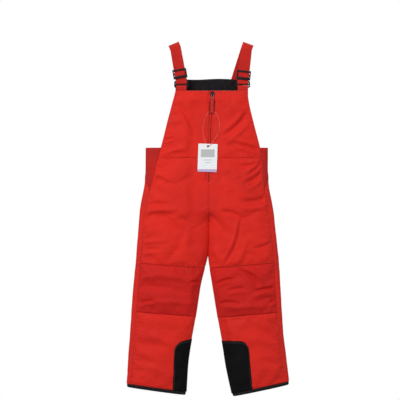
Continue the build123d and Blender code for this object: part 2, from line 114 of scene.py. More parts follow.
SEAM_FADE = 9           # the padding reaches its fullness over this distance from a seam
SEAM_DIP = 0.35         # a seam lies this deep, and its dip is this wide
SEAM_DIP_WIDTH = 2.6
SIDE_CALM = 0.85        # share by which seam dips, creases and the simulation's shift shrink
                        # where the cloth turns round the sides
RELIEF_FADE = 14        # creases fade out over this distance before a seam
ZIP_DIP = 1.1           # the cloth lies this much lower beside the zip
CALM_LIFT = 0.4         # the most that the cloth rises where it's kept flat
SIM_FRAMES = 20
SIM_CAP = 5             # furthest that the simulation may move a point
KEY_POWER = 72          # watts
FILL_POWER = 18
BACK_POWER = 55
AMBIENT = 0.42          # how much the white surroundings light the cloth
FLOOR_REACH = 9         # metres; the floor fades into the white surroundings at its rim
FLOOR_Z = -1.9          # metres; the garment hangs from a rail, well above the floor
FLOOR_GLOW = (0.42, 0.75)       # at the middle, and from 0.7 of the way out
STITCH_PITCH = 3.4
STITCH_LENGTH = 2.5
STITCH_RADIUS = 0.42
STITCH_LIFT = 0.15      # the middle of a stitch above the cloth
THIGH_LINING_TOP = -480
SHIN_LINING_END = -900
BODY_LINING = (-444, -284)      # lower and upper end, as in the next two
GAITER = (-906, -840)
CUFF_ELASTIC = (-917, -905)
LINING_CLOTH = 1.6
QUILT_PITCH = 62        # between the linings' quilting lines, and how deep they are
QUILT_DEPTH = 2.4
RUCHES = 58             # gathers round a gaiter, and the columns that can show them
RUCHED = 401
SIDES = ("right", "left")
SIGN = {"right": -1, "left": 1}


def outline(points):
    """A smoothed line down the garment: (height, x) pairs from the top down."""
    heights = np.array([point[0] for point in points[::-1]], float)
    values = np.array([point[1] for point in points[::-1]], float)

    def at(z):
        steps = (-16, -8, 0, 8, 16)
        near = [np.interp(np.asarray(z, float) + step, heights, values) for step in steps]
        return sum(near) / len(steps)

    return at


OUTER = {
    "right": outline([(-281, -168), (-388, -169), (-414, -176), (-455, -183), (-520, -188),
                      (-585, -193), (-692, -203), (-780, -209), (-865, -215), (-950, -220)]),
    "left": outline([(-281, 165), (-388, 165), (-414, 171), (-455, 179), (-520, 186),
                     (-585, 193), (-692, 199), (-780, 205), (-865, 215), (-950, 225)]),
}
INNER = {
    "right": outline([(-471, 5.4), (-540, 4.6), (-568, 1), (-606, -9), (-649, -20), (-736, -33),
                      (-822, -49), (-865, -55), (-970, -61)]),
    "left": outline([(-471, 2.6), (-540, 2.2), (-568, 3), (-606, 8), (-649, 15), (-736, 29),
                     (-822, 45), (-865, 51), (-908, 60), (-970, 74)]),
}
front_y = outline([(BIB_TOP, FRONT_TOP_Y), (CROTCH, FRONT_LEG_Y), (-970, FRONT_LEG_Y)])
back_y = outline([(BACK_TOP, BACK_TOP_Y), (WAIST, BACK_WAIST_Y), (SIDE_END, SEAT_Y),
                  (CROTCH, SEAT_Y), (KNEE, CALF_Y), (-970, CALF_Y)])


def straight(points):
    """A seam drawn as straight stretches: x against height, from the top down."""
    heights = [point[0] for point in points[::-1]]
    values = [point[1] for point in points[::-1]]
    return lambda z: np.interp(z, heights, values)


ZIP = straight([(BIB_TOP, 14), (-380, 3), (CROTCH, 4)])
BIB_EDGE = {
    "right": outline([(-100, -80), (BIB_TOP, -86), (-205, -107), (-250, -118), (SIDE_TOP, -126),
                      (WAIST, -134), (SIDE_END, -155), (-420, -161)]),
    "left": outline([(-100, 107), (BIB_TOP, 108), (-165, 113), (-225, 128), (SIDE_TOP, 143),
                     (WAIST, 147), (SIDE_END, 154), (-420, 158)]),
}
BACK_EDGE = {
    "right": outline([(BACK_TOP, -84), (-150, -86), (-215, -104), (SIDE_TOP, -124),
                      (WAIST, -130), (SIDE_END, -155)]),
    "left": outline([(BACK_TOP, 93), (-150, 101), (-215, 122), (SIDE_TOP, 142), (WAIST, 146),
                     (SIDE_END, 154)]),
}


def smoothstep(value):
    value = np.clip(value, 0, 1)
    return value * value * (3 - 2 * value)


def unit(vectors):
    """The same directions, each with length 1."""
    return vectors / np.linalg.norm(vectors, axis=-1, keepdims=True)


def lengths_along(line):
    """Distance from a line's first point to each of its points."""
    steps = np.linalg.norm(np.diff(line, axis=0), axis=-1)
    return np.concatenate([[0], np.cumsum(steps)])


def side_seam(side, z):
    """Front edge of the side panel, and below it the outseam, a little inside the outline."""
    inset = OUTER[side](z) - SIGN[side] * SIDE_INSET
    panel = BIB_EDGE[side](z)
    share = smoothstep((z - SIDE_END + 25) / 40)
    return panel * share + inset * (1 - share)


# ---- the garment's surface ----
def around(edges, tau, z, power, inset=0):
    """Point of a flattened tube. tau -1..1 crosses the front, and past that the back."""
    low, high = edges
    middle = (low + high) / 2
    half = (high - low) / 2 - inset
    across = np.sin(math.pi * tau / 2)
    bulge = np.clip(1 - np.abs(across) ** power, 0, 1) ** (1 / power)
    front = np.cos(math.pi * tau / 2) >= 0
    depth_middle = (front_y(z) + back_y(z)) / 2
    depth = (back_y(z) - front_y(z)) / 2 - inset
    y = depth_middle + np.where(front, -depth, depth) * bulge
    return np.stack([middle + half * across, y, z], axis=-1)


def tau_of(edges, x):
    """Where x falls on a tube's front, as tau."""
    low, high = edges
    share = np.clip((x - (low + high) / 2) / ((high - low) / 2), -1, 1)
    return 2 / math.pi * np.arcsin(share)


def torso_edges(z):
    return OUTER["right"](z) + PUFF_SHARE, OUTER["left"](z) - PUFF_SHARE


def leg_edges(side, z):
    outer = OUTER[side](z) - SIGN[side] * PUFF_SHARE
    return (outer, INNER[side](z)) if side == "right" else (INNER[side](z), outer)


def taus_at(side, x, z):
    """Place of x across the torso's front, and across the leg's front."""
    return np.stack([tau_of(torso_edges(z), x), tau_of(leg_edges(side, z), x)])


def garment(side, taus, z):
    """Point on the garment. Torso and legs are two shapes, and the torso turns into the legs
    over the hips, soonest along the inner seams, so that the crotch draws in."""
    on_torso = around(torso_edges(z), taus[0], z, TORSO_POWER)
    on_leg = around(leg_edges(side, z), taus[1], z, LEG_POWER)
    near_crotch = np.exp(-(((on_torso[..., 0] - CENTRE_X) / CROTCH_WIDTH) ** 2))
    fade = HIP_FADE - (HIP_FADE - CROTCH_FADE) * near_crotch
    share = smoothstep((LEGS_START - z) / fade)[..., None]
    return on_torso * (1 - share) + on_leg * share


# ---- creases: (x, z) of both ends, depth, and width; a negative depth is a groove ----
FRONT_CREASES = [
    ((-70, -176), (-36, -250), -1.8, 7), ((-52, -170), (-22, -248), 1.6, 9),
    ((-116, -263), (-92, -256), -1.6, 4), ((101, -193), (48, -246), -2.0, 7),
    ((112, -208), (60, -262), 1.8, 9), ((88, -276), (138, -290), -2.2, 5),
    ((70, -262), (128, -276), 1.4, 7), ((-110, -296), (-60, -285), 1.2, 8),
    ((150, -318), (112, -352), -2.4, 6), ((152, -340), (100, -378), -2.0, 7),
    ((138, -322), (84, -330), -1.8, 6), ((150, -364), (112, -392), 1.8, 7),
    ((-150, -330), (-112, -346), -1.4, 6), ((-150, -352), (-104, -368), 1.2, 8),
    ((-178, -442), (-112, -434), -1.8, 7), ((-180, -462), (-96, -452), 1.8, 9),
    ((168, -412), (104, -426), -2.0, 7), ((172, -434), (96, -444), 1.6, 9),
    ((8, -466), (48, -512), -3.8, 4.5), ((2, -470), (-46, -506), -1.4, 8),
    ((16, -448), (66, -506), 2.0, 10), ((88, -486), (50, -590), -3.2, 5),
    ((104, -530), (76, -596), 1.8, 11), ((30, -452), (92, -470), -1.6, 7),
    ((-168, -560), (-128, -556), -1.6, 6), ((-178, -540), (-120, -534), 1.2, 8),
    ((-60, -500), (-110, -590), -1.2, 12),
    ((168, -540), (128, -552), -1.4, 7),
    ((-178, -700), (-146, -697), -2.6, 5), ((-44, -644), (-18, -648), -2.6, 5),
    ((-186, -660), (-60, -672), -1.6, 10), ((-180, -632), (-50, -640), 1.4, 11),
    ((-176, -706), (-50, -702), 1.5, 10), ((26, -650), (68, -636), -3.0, 5),
    ((58, -668), (98, -662), -2.4, 6), ((40, -702), (86, -702), -2.6, 6),
    ((166, -700), (196, -696), -3.0, 5), ((86, -608), (132, -650), -3.8, 5.5),
    ((106, -606), (148, -640), 2.4, 9), ((134, -667), (190, -662), -4.2, 5),
    ((128, -682), (188, -680), 2.2, 8), ((60, -718), (150, -712), 1.6, 9),
    ((-188, -762), (-52, -802), -0.7, 14), ((-190, -790), (-70, -822), 0.7, 15),
    ((-196, -850), (-110, -868), -0.5, 14), ((168, -748), (198, -790), -1.8, 8),
    ((86, -772), (160, -784), -0.9, 13), ((100, -800), (186, -812), 0.8, 14),
    ((130, -858), (196, -870), -0.7, 13),
]
BACK_CREASES = [
    ((-120, -200), (-40, -240), -1.6, 10), ((120, -205), (50, -250), -1.6, 10),
    ((-110, -352), (-30, -372), -1.8, 10), ((115, -350), (40, -375), -1.8, 10),
    ((-10, -440), (-90, -480), -2.6, 10), ((18, -440), (96, -482), -2.6, 10),
    ((-16, -468), (-100, -520), 2.0, 12), ((24, -468), (104, -522), 2.0, 12),
    ((-170, -640), (-40, -652), -3.0, 9), ((-176, -668), (-44, -676), -2.6, 8),
    ((-176, -690), (-50, -702), 2.2, 9), ((170, -640), (40, -650), -3.0, 9),
    ((178, -668), (44, -676), -2.6, 8), ((180, -692), (52, -700), 2.2, 9),
    ((-186, -770), (-70, -800), -1.6, 12), ((186, -772), (72, -802), -1.6, 12),
]


def crease_depth(points, creases):
    """Height that the creases add at each point of the cloth."""
    x = points[..., 0]
    z = points[..., 2]
    total = np.zeros_like(x)
    for (x0, z0), (x1, z1), depth, width in creases:
        run = np.array([x1 - x0, z1 - z0], float)
        length = np.hypot(*run)
        along = ((x - x0) * run[0] + (z - z0) * run[1]) / length**2
        bow = CREASE_BOW * length * np.sin(math.pi * np.clip(along, 0, 1))
        off = ((x - x0) * run[1] - (z - z0) * run[0]) / length + bow
        fade = smoothstep((along + 0.25) / 0.5) * smoothstep((1.25 - along) / 0.5)
        off = off / (CREASE_WIDTH * width)
        groove = np.exp(-(off**2))
        roll = np.exp(-(((off - ROLL_PLACE) / ROLL_WIDTH) ** 2))
        total += CREASE_DEPTH * depth * fade * (groove - ROLL_HEIGHT * roll)
    return total


def ripple(points, seed, sizes=((95, 0.8), (52, 0.6), (28, 0.35))):
    """Soft uneven surface of padded cloth, as a sum of seeded waves."""
    random = np.random.default_rng(seed)
    x = points[..., 0]
    z = points[..., 2]
    total = np.zeros_like(x)
    for size, height in sizes:
        for _ in range(5):
            turn = random.uniform(0, math.pi)
            phase = random.uniform(0, 2 * math.pi)
            wave = 2 * math.pi / (size * random.uniform(0.8, 1.3))
            total += height / 2.2 * np.sin(wave * (x * math.cos(turn) + z * math.sin(turn)) + phase)
    return total


def grid_normals(grid, outward):
    """Unit normals of a grid of points, all on the outward side."""
    across = np.gradient(grid, axis=1)
    up = np.gradient(grid, axis=0)
    normal = np.cross(across, up)
    normal /= np.maximum(np.linalg.norm(normal, axis=-1, keepdims=True), 1e-9)
    if np.sum(normal * outward) < 0:
        normal = -normal
    return normal


def border_distances(grid):
    """Distance along the cloth from each border, for each point of the grid."""
    across = np.linalg.norm(np.diff(grid, axis=1), axis=-1)
    up = np.linalg.norm(np.diff(grid, axis=0), axis=-1)
    start = np.concatenate([np.zeros((len(grid), 1)), np.cumsum(across, axis=1)], axis=1)
    low = np.concatenate([np.zeros((1, grid.shape[1])), np.cumsum(up, axis=0)], axis=0)
    return {"start": start, "end": start[:, -1:] - start, "low": low, "top": low[-1:] - low}


def seam_pucker(borders, seed):
    """Small gathers that the stitching pulls into the cloth beside each seam."""
    random = np.random.default_rng(seed + 500)
    along = {"start": "low", "end": "low", "low": "start", "top": "start"}
    total = 0
    for border, way in along.items():
        distance = borders[border]
        run = borders[way] + 3 * np.sin(borders[way] / random.uniform(17, 29))
        wave = np.sin(2 * math.pi * run / random.uniform(10, 15) + random.uniform(0, 6))
        total = total + PUCKER * wave * smoothstep(distance / 4) * np.exp(-distance / SEAM_FADE)
    return total


panels = {}


def calm(points):
    """1 along the way that the tag and its string run down, where the cloth lies flat."""
    across = np.abs(points[..., 0] - TAG_X + TAG_DRIFT)
    height = points[..., 2]
    beside = smoothstep((TAG_HALF + CALM_MARGIN - across) / CALM_FADE)
    above = smoothstep((TAG_TOP - height) / CALM_FADE)
    below = smoothstep((height - TAG_END) / CALM_FADE)
    front = points[..., 1] < 0
    return beside * above * below * front


def panel(name, place, width, height, creases, seed, puff=2.6, flush=(), grow=0.02):
    """Register one cloth panel: a grid of points with its creases and padded fullness.
    Flush borders are flat seams, where the fullness and the creases carry on."""
    rows = 2 * round(height / SPACING / 2) + 1
    columns = 2 * round(width / SPACING / 2) + 1
    t, s = np.meshgrid(np.linspace(0, 1, rows), np.linspace(0, 1, columns), indexing="ij")
    grid = place(s, t)
    outward = np.stack([0.1 * (grid[..., 0] - grid[..., 0].mean()), grid[..., 1], 0 * s], axis=-1)
    normal = grid_normals(grid, outward)
    borders = border_distances(grid)
    seam = np.min(list(borders.values()), axis=0)
    distance = np.min([borders[side] + SEAM_FADE * (side in flush) for side in borders], axis=0)
    steady = 1 - SIDE_CALM * smoothstep((np.abs(normal[..., 0]) - 0.35) / 0.45)
    fullness = puff * (1 - steady * np.exp(-distance / SEAM_FADE))
    fullness -= SEAM_DIP * steady * np.exp(-((seam / SEAM_DIP_WIDTH) ** 2))
    if "end" in flush:
        beside_zip = smoothstep((grid[..., 2] - ZIP_END) / 10) * np.exp(-((borders["end"] / 6) ** 2))
        fullness = fullness * (1 - beside_zip) - ZIP_DIP * beside_zip
    relief = (crease_depth(grid, creases) + ripple(grid, seed)) * smoothstep(distance / RELIEF_FADE)
    lift = fullness + (relief + seam_pucker(borders, seed)) * steady
    lift = np.where(lift < 0, GROOVE_LIMIT * np.tanh(lift / GROOVE_LIMIT), lift)
    still = calm(grid)
    lift = lift * (1 - still) + np.minimum(lift, CALM_LIFT) * still
    base = grid
    grid = grid + normal * lift[..., None]
    facing = np.cross(np.gradient(grid, axis=1), np.gradient(grid, axis=0))
    flip = bool(np.sum(facing * normal) < 0)
    panels[name] = {"base": base, "grid": grid, "outward": outward, "grow": grow, "flip": flip,
                    "steady": steady}


def grid_faces(rows, columns, offset=0, flip=False):
    faces = []
    for row in range(rows - 1):
        for column in range(columns - 1):
            corner = offset + row * columns + column
            face = (corner, corner + 1, corner + columns + 1, corner + columns)
            faces.append(face[::-1] if flip else face)
    return faces


def level(z):
    return lambda x: np.full_like(np.asarray(x, float), z)


def slanting(x0, z0, x1, z1):
    return lambda x: z0 + (x - x0) * (z1 - z0) / (x1 - x0)


def between(side, start, end, low, top):
    """Panel between two seams, given as taus against height, and two lines across."""
    def place(s, t):
        z = low(0.0 * s) * (1 - t) + top(0.0 * s) * t
        for _ in range(6):
            points = garment(side, start(z) * (1 - s) + end(z) * s, z)
            z = low(points[..., 0]) * (1 - t) + top(points[..., 0]) * t
        return points
    return place


HEM = {
    "right": slanting(-219, -928, -59, -950),
    "left": slanting(71, -953.5, 224, -921),
}
KNEE_TOP = {"right": slanting(-193, -593, -6, -607), "left": slanting(8, -607, 193, -592)}
KNEE_LOW = {"right": slanting(-204, -724, -33, -738), "left": slanting(28, -741, 200, -726)}


def seam_at(side, x_line):
    """A seam on the front, from its x against height."""
    return lambda z: taus_at(side, x_line(z), z)


def outseam(side):
    return seam_at(side, lambda z: side_seam(side, z))


def zip_edge(side):
    """Front edge beside the zip. The two edges meet below it."""
    return lambda z: ZIP(z) + SIGN[side] * ZIP_GAP * smoothstep((z - ZIP_END) / 10)


def centre_front(side):
    """Beside the zip and down the front, and from the crotch on the leg's inner seam."""
    def at(z):
        taus = taus_at(side, zip_edge(side)(z), z)
        share = smoothstep((CROTCH + 14 - z) / 28)
        taus[1] = taus[1] * (1 - share) - SIGN[side] * share
        return taus
    return at


def inner_seam(side):
    return lambda z: np.stack([taus_at(side, CENTRE_X, z)[0], 0 * z - SIGN[side]])


def cuff(side):
    return lambda x: HEM[side](x) + HEM_HEIGHT


def behind(side, taus):
    """The same x on the back instead of the front."""
    return 2 * SIGN[side] - taus


def side_panel_back(side):
    """Back edge of the side panel. Its two edges meet at its point on the outseam."""
    def at(z):
        panel_z = np.maximum(z, SIDE_END)
        front = taus_at(side, side_seam(side, z), z)
        back = behind(side, taus_at(side, BACK_EDGE[side](panel_z), panel_z))
        share = np.sqrt(smoothstep((panel_z - SIDE_END) / (SIDE_TOP - SIDE_END)))
        edge = front * (1 - share) + back * share
        edge[1] = np.where(z > SIDE_END, edge[1], front[1])
        return edge
    return at


def centre_back(side):
    return lambda z: np.stack([behind(side, taus_at(side, CENTRE_X, z)[0]), 0 * z + 3 * SIGN[side]])


def upper_back_place(s, t):
    z = WAIST * (1 - t) + BACK_TOP * t
    left = np.where(z > SIDE_TOP, behind("left", taus_at("left", BACK_EDGE["left"](z), z)[0]),
                    side_panel_back("left")(np.minimum(z, SIDE_TOP))[0])
    right = np.where(z > SIDE_TOP, behind("right", taus_at("right", BACK_EDGE["right"](z), z)[0]),
                     side_panel_back("right")(np.minimum(z, SIDE_TOP))[0])
    return around(torso_edges(z), left * (1 - s) + (right + 4) * s, z, TORSO_POWER)


# ---- register every cloth panel ----
for index, side in enumerate(SIDES):
    bib_edge = seam_at(side, BIB_EDGE[side])
    panel(f"bib_{side}", between(side, bib_edge, seam_at(side, zip_edge(side)), level(WAIST),
                                 level(BIB_TOP)),
          118, 182, FRONT_CREASES, 10, puff=2, flush=("end", "low"))
    panel(f"front_leg_{side}", between(side, outseam(side), centre_front(side), KNEE_TOP[side],
                                       level(WAIST)),
          165, 290, FRONT_CREASES, 10, puff=2, flush=("end", "top"))
    panel(f"knee_{side}", between(side, outseam(side), inner_seam(side), KNEE_LOW[side],
                                  KNEE_TOP[side]),
          175, 132, FRONT_CREASES, 30 + index, puff=3.2, grow=0.03)
    panel(f"front_shin_{side}", between(side, outseam(side), inner_seam(side), cuff(side),
                                        KNEE_LOW[side]),
          165, 205, FRONT_CREASES, 40 + index)
    panel(f"side_{side}", between(side, outseam(side), side_panel_back(side), level(SIDE_END),
                                  level(SIDE_TOP)),
          90, 114, [], 50 + index, puff=1, grow=0)
    panel(f"back_leg_{side}", between(side, side_panel_back(side), centre_back(side),
                                      level(LEG_SPLIT), level(WAIST)),
          240, 290, BACK_CREASES, 60 + index)
    panel(f"back_shin_{side}", between(side, outseam(side), centre_back(side), cuff(side),
                                       level(LEG_SPLIT)),
          220, 320, BACK_CREASES, 70 + index)
panel("back_bib", upper_back_place, 250, 213, BACK_CREASES, 80, puff=2.0)


# ---- cloth simulation ----
def every_second_filled(shift, shape):
    """Spread shifts known at every second grid point over the whole grid, smoothly."""
    full = np.zeros(shape)
    full[::2, ::2] = shift
    full[1::2, ::2] = (full[:-1:2, ::2] + full[2::2, ::2]) / 2
    full[:, 1::2] = (full[:, :-1:2] + full[:, 2::2]) / 2
    for axis in (0, 1):
        wide = np.concatenate([full.take([0], axis), full, full.take([-1], axis)], axis)
        count = full.shape[axis]
        full = sum(
            share * wide.take(range(first, first + count), axis)
            for share, first in ((0.25, 0), (0.5, 1), (0.25, 2))
        )
    return full


def settle(names):
    """Simulate the panels as cloth: sewn edges held, a little extra cloth, a little pressure."""
    cloths = {}
    for name in names:
        entry = panels[name]
        grid = entry["grid"][::2, ::2]
        rows, columns = grid.shape[:2]
        mesh = bpy.data.meshes.new(name)
        faces = grid_faces(rows, columns, flip=entry["flip"])
        mesh.from_pydata((grid.reshape(-1, 3) * MM).tolist(), [], faces)
        piece = bpy.data.objects.new(f"cloth_{name}", mesh)
        bpy.context.scene.collection.objects.link(piece)
        held = piece.vertex_groups.new(name="held")
        index = np.arange(rows * columns).reshape(rows, columns)
        edge = np.ones((rows, columns), bool)
        edge[1:-1, 1:-1] = False
        held.add(index[edge].tolist(), 1.0, "REPLACE")
        cloth = piece.modifiers.new("cloth", "CLOTH")
        cloth.settings.quality = 5
        cloth.settings.mass = 0.2
        cloth.settings.tension_stiffness = 15
        cloth.settings.compression_stiffness = 15
        cloth.settings.shear_stiffness = 6
        cloth.settings.bending_stiffness = 0.6
        cloth.settings.shrink_min = -entry["grow"]
        cloth.settings.use_pressure = True
        cloth.settings.uniform_pressure_force = 0.25
        cloth.settings.effector_weights.gravity = 0
        cloth.settings.vertex_group_mass = "held"
        cloth.collision_settings.use_collision = False
        cloth.collision_settings.use_self_collision = False
        cloths[name] = piece
    scene = bpy.context.scene
    for step in range(1, SIM_FRAMES + 1):
        scene.frame_set(step)
    graph = bpy.context.evaluated_depsgraph_get()
    for name, piece in cloths.items():
        settled = piece.evaluated_get(graph).data
        moved = np.empty(len(settled.vertices) * 3)
        settled.vertices.foreach_get("co", moved)
        entry = panels[name]
        start = entry["grid"][::2, ::2]
        shift = moved.reshape(start.shape) / MM - start
        size = np.linalg.norm(shift, axis=-1, keepdims=True)
        shift *= np.minimum(1, SIM_CAP / np.maximum(size, 1e-6))
        shift = every_second_filled(shift, entry["grid"].shape)
        hold = entry["steady"] * (1 - calm(entry["grid"]))
        entry["grid"] = entry["grid"] + shift * hold[..., None]
        bpy.data.objects.remove(piece)
    scene.frame_set(1)


# ---- meshes ----
def add_mesh(name, vertices, faces, material):
    """New mesh piece from points in millimetres, shaded smooth."""
    mesh = bpy.data.meshes.new(name)
    mesh.from_pydata((np.asarray(vertices, float).reshape(-1, 3) * MM).tolist(), [], faces)
    mesh.update()
    mesh.polygons.foreach_set("use_smooth", [True] * len(mesh.polygons))
    mesh.materials.append(material)
    piece = bpy.data.objects.new(name, mesh)
    bpy.context.scene.collection.objects.link(piece)
    return piece


def cloth_mesh(name, grid, outward, thickness, material, ring=False):
    """Closed sheet of cloth: the grid as its outer face, an inner face, and its edges.
    A ring's last column is its first one again. The UV map holds the cloth's own metres."""
    normal = grid_normals(grid, outward)
    if ring:
        seam = unit(normal[:, :1] + normal[:, -1:])
        normal[:, 0] = normal[:, -1] = seam[:, 0]
    inner = grid - normal * thickness
    rows, columns = grid.shape[:2]
    count = rows * columns
    facing = np.cross(np.gradient(grid, axis=1), np.gradient(grid, axis=0))
    flip = np.sum(facing * normal) < 0
    faces = grid_faces(rows, columns, 0, flip) + grid_faces(rows, columns, count, not flip)
    index = np.arange(count).reshape(rows, columns)
    edges = [index[0], index[-1][::-1]]
    if not ring:
        edges += [index[:, -1], index[::-1, 0]]
    for line in edges:
        for first, second in zip(line[:-1], line[1:]):
            face = (first, first + count, second + count, second)
            faces.append(tuple(int(corner) for corner in (face[::-1] if flip else face)))
    piece = add_mesh(name, np.concatenate([grid.reshape(-1, 3), inner.reshape(-1, 3)]), faces,
                     material)
    sheets = 2 * (rows - 1) * (columns - 1)
    smooth = [True] * sheets + [False] * (len(faces) - sheets)
    piece.data.polygons.foreach_set("use_smooth", smooth)
    borders = border_distances(grid)
    flat = np.stack([borders["start"], borders["low"]], axis=-1).reshape(-1, 2) * MM
    flat = np.concatenate([flat, flat])
    corners = np.empty(len(piece.data.loops), int)
    piece.data.loops.foreach_get("vertex_index", corners)
    layer = piece.data.uv_layers.new(name="cloth")
    layer.data.foreach_set("uv", flat[corners].ravel())
    if ring:
        weld = piece.modifiers.new("weld", "WELD")
        weld.merge_threshold = 0.00002
        apply_modifiers(piece)
    return piece


def apply_modifiers(piece):
    graph = bpy.context.evaluated_depsgraph_get()
    mesh = bpy.data.meshes.new_from_object(piece.evaluated_get(graph))
    piece.modifiers.clear()
    piece.data = mesh


def flat_size(grid):
    """Width and length of a piece of cloth laid flat, in metres."""
    borders = border_distances(grid)
    width = float(np.mean(borders["start"][:, -1])) * MM
    length = float(np.mean(borders["low"][-1])) * MM
    return width, length


def line_near(grid, normal, border, inset):
    """Points and normals along a border, a set distance inside it."""
    turned = {
        "start": lambda field: field,
        "end": lambda field: field[:, ::-1],
        "low": lambda field: field.transpose(1, 0, 2),
        "top": lambda field: field.transpose(1, 0, 2)[:, ::-1],
    }[border]
    field = turned(np.concatenate([grid, normal], axis=-1))
    steps = np.linalg.norm(np.diff(field[..., :3], axis=1), axis=-1)
    along = np.concatenate([np.zeros((len(field), 1)), np.cumsum(steps, axis=1)], axis=1)
    line = np.array([
        [np.interp(inset, along[row], field[row, :, part]) for part in range(6)]
        for row in range(len(field))
    ])
    return line[:, :3], line[:, 3:]


def dashes(line, normal):
    """Stitches at even steps along a line: vertices and faces of short rounded threads."""
    along = lengths_along(line)
    places = np.arange(STITCH_PITCH, along[-1] - STITCH_PITCH / 2, STITCH_PITCH)

    def at(values, where):
        return np.stack([np.interp(where, along, values[:, part]) for part in range(3)], axis=-1)

    middle = at(line, places)
    way = unit(at(line, places + 0.5) - at(line, places - 0.5))
    up = at(normal, places)
    up = unit(up - way * np.sum(up * way, axis=-1, keepdims=True))
    return rods(middle + up * STITCH_LIFT, way, up, STITCH_LENGTH, STITCH_RADIUS)


def rods(middle, way, up, length, radius):
    """Rods with rounded ends, as vertices and faces, each along its own direction."""
    aside = np.cross(way, up)
    sides = 6
    turns = 2 * math.pi * np.arange(sides) / sides
    profile = ((-0.5, 0.35), (-0.36, 1), (0.36, 1), (0.5, 0.35))
    rings = []
    for place, width in profile:
        circle = (np.cos(turns)[None, :, None] * up[:, None]
                  + np.sin(turns)[None, :, None] * aside[:, None])
        rings.append(middle[:, None] + way[:, None] * place * length + circle * width * radius)
    vertices = np.stack(rings, axis=1).reshape(-1, 3)
    faces = []
    each = sides * len(profile)
    for first in range(0, len(vertices), each):
        for ring in range(len(profile) - 1):
            for side in range(sides):
                a = first + ring * sides + side
                b = first + ring * sides + (side + 1) % sides
                faces.append((a, b, b + sides, a + sides))
        faces.append(tuple(range(first + sides - 1, first - 1, -1)))
        faces.append(tuple(range(first + each - sides, first + each)))
    return vertices, faces


def joined(parts):
    """Several (vertices, faces) lists as one."""
    vertices = []
    faces = []
    count = 0
    for points, polygons in parts:
        vertices.append(points)
        faces += [tuple(corner + count for corner in polygon) for polygon in polygons]
        count += len(points)
    return np.concatenate(vertices), faces


def ribbon(centres, across, width, thickness):
    """Cloth strip as a grid: its outer face from edge to edge along a path of points."""
    centres = np.asarray(centres, float)
    across = np.asarray(across, float)
    places = np.linspace(-1, 1, 13)
    forward = np.gradient(centres, axis=0)
    out = unit(np.cross(across, forward))
    edge_drop = 0.12
    rise = thickness / 2 - edge_drop * places**6
    grid = (centres[:, None] + across[:, None] * places[None, :, None] * width / 2
            + out[:, None] * rise[None, :, None])
    return grid, np.broadcast_to(out[:, None], grid.shape)


def along_path(points, spacing=2.0):
    """Even points along straight runs and curves already given closely."""
    points = np.asarray(points, float)
    along = lengths_along(points)
    places = np.linspace(0, along[-1], max(3, round(along[-1] / spacing)))
    return np.stack([np.interp(places, along, points[:, part]) for part in range(points.shape[1])],
                    axis=-1)


# ---- materials ----
def colour(red, green, blue):
    """A colour as the eye reads it, 0 to 255, made linear."""
    values = [value / 255 for value in (red, green, blue)]
    return [((v + 0.055) / 1.055) ** 2.4 if v > 0.04 else v / 12.92 for v in values] + [1]


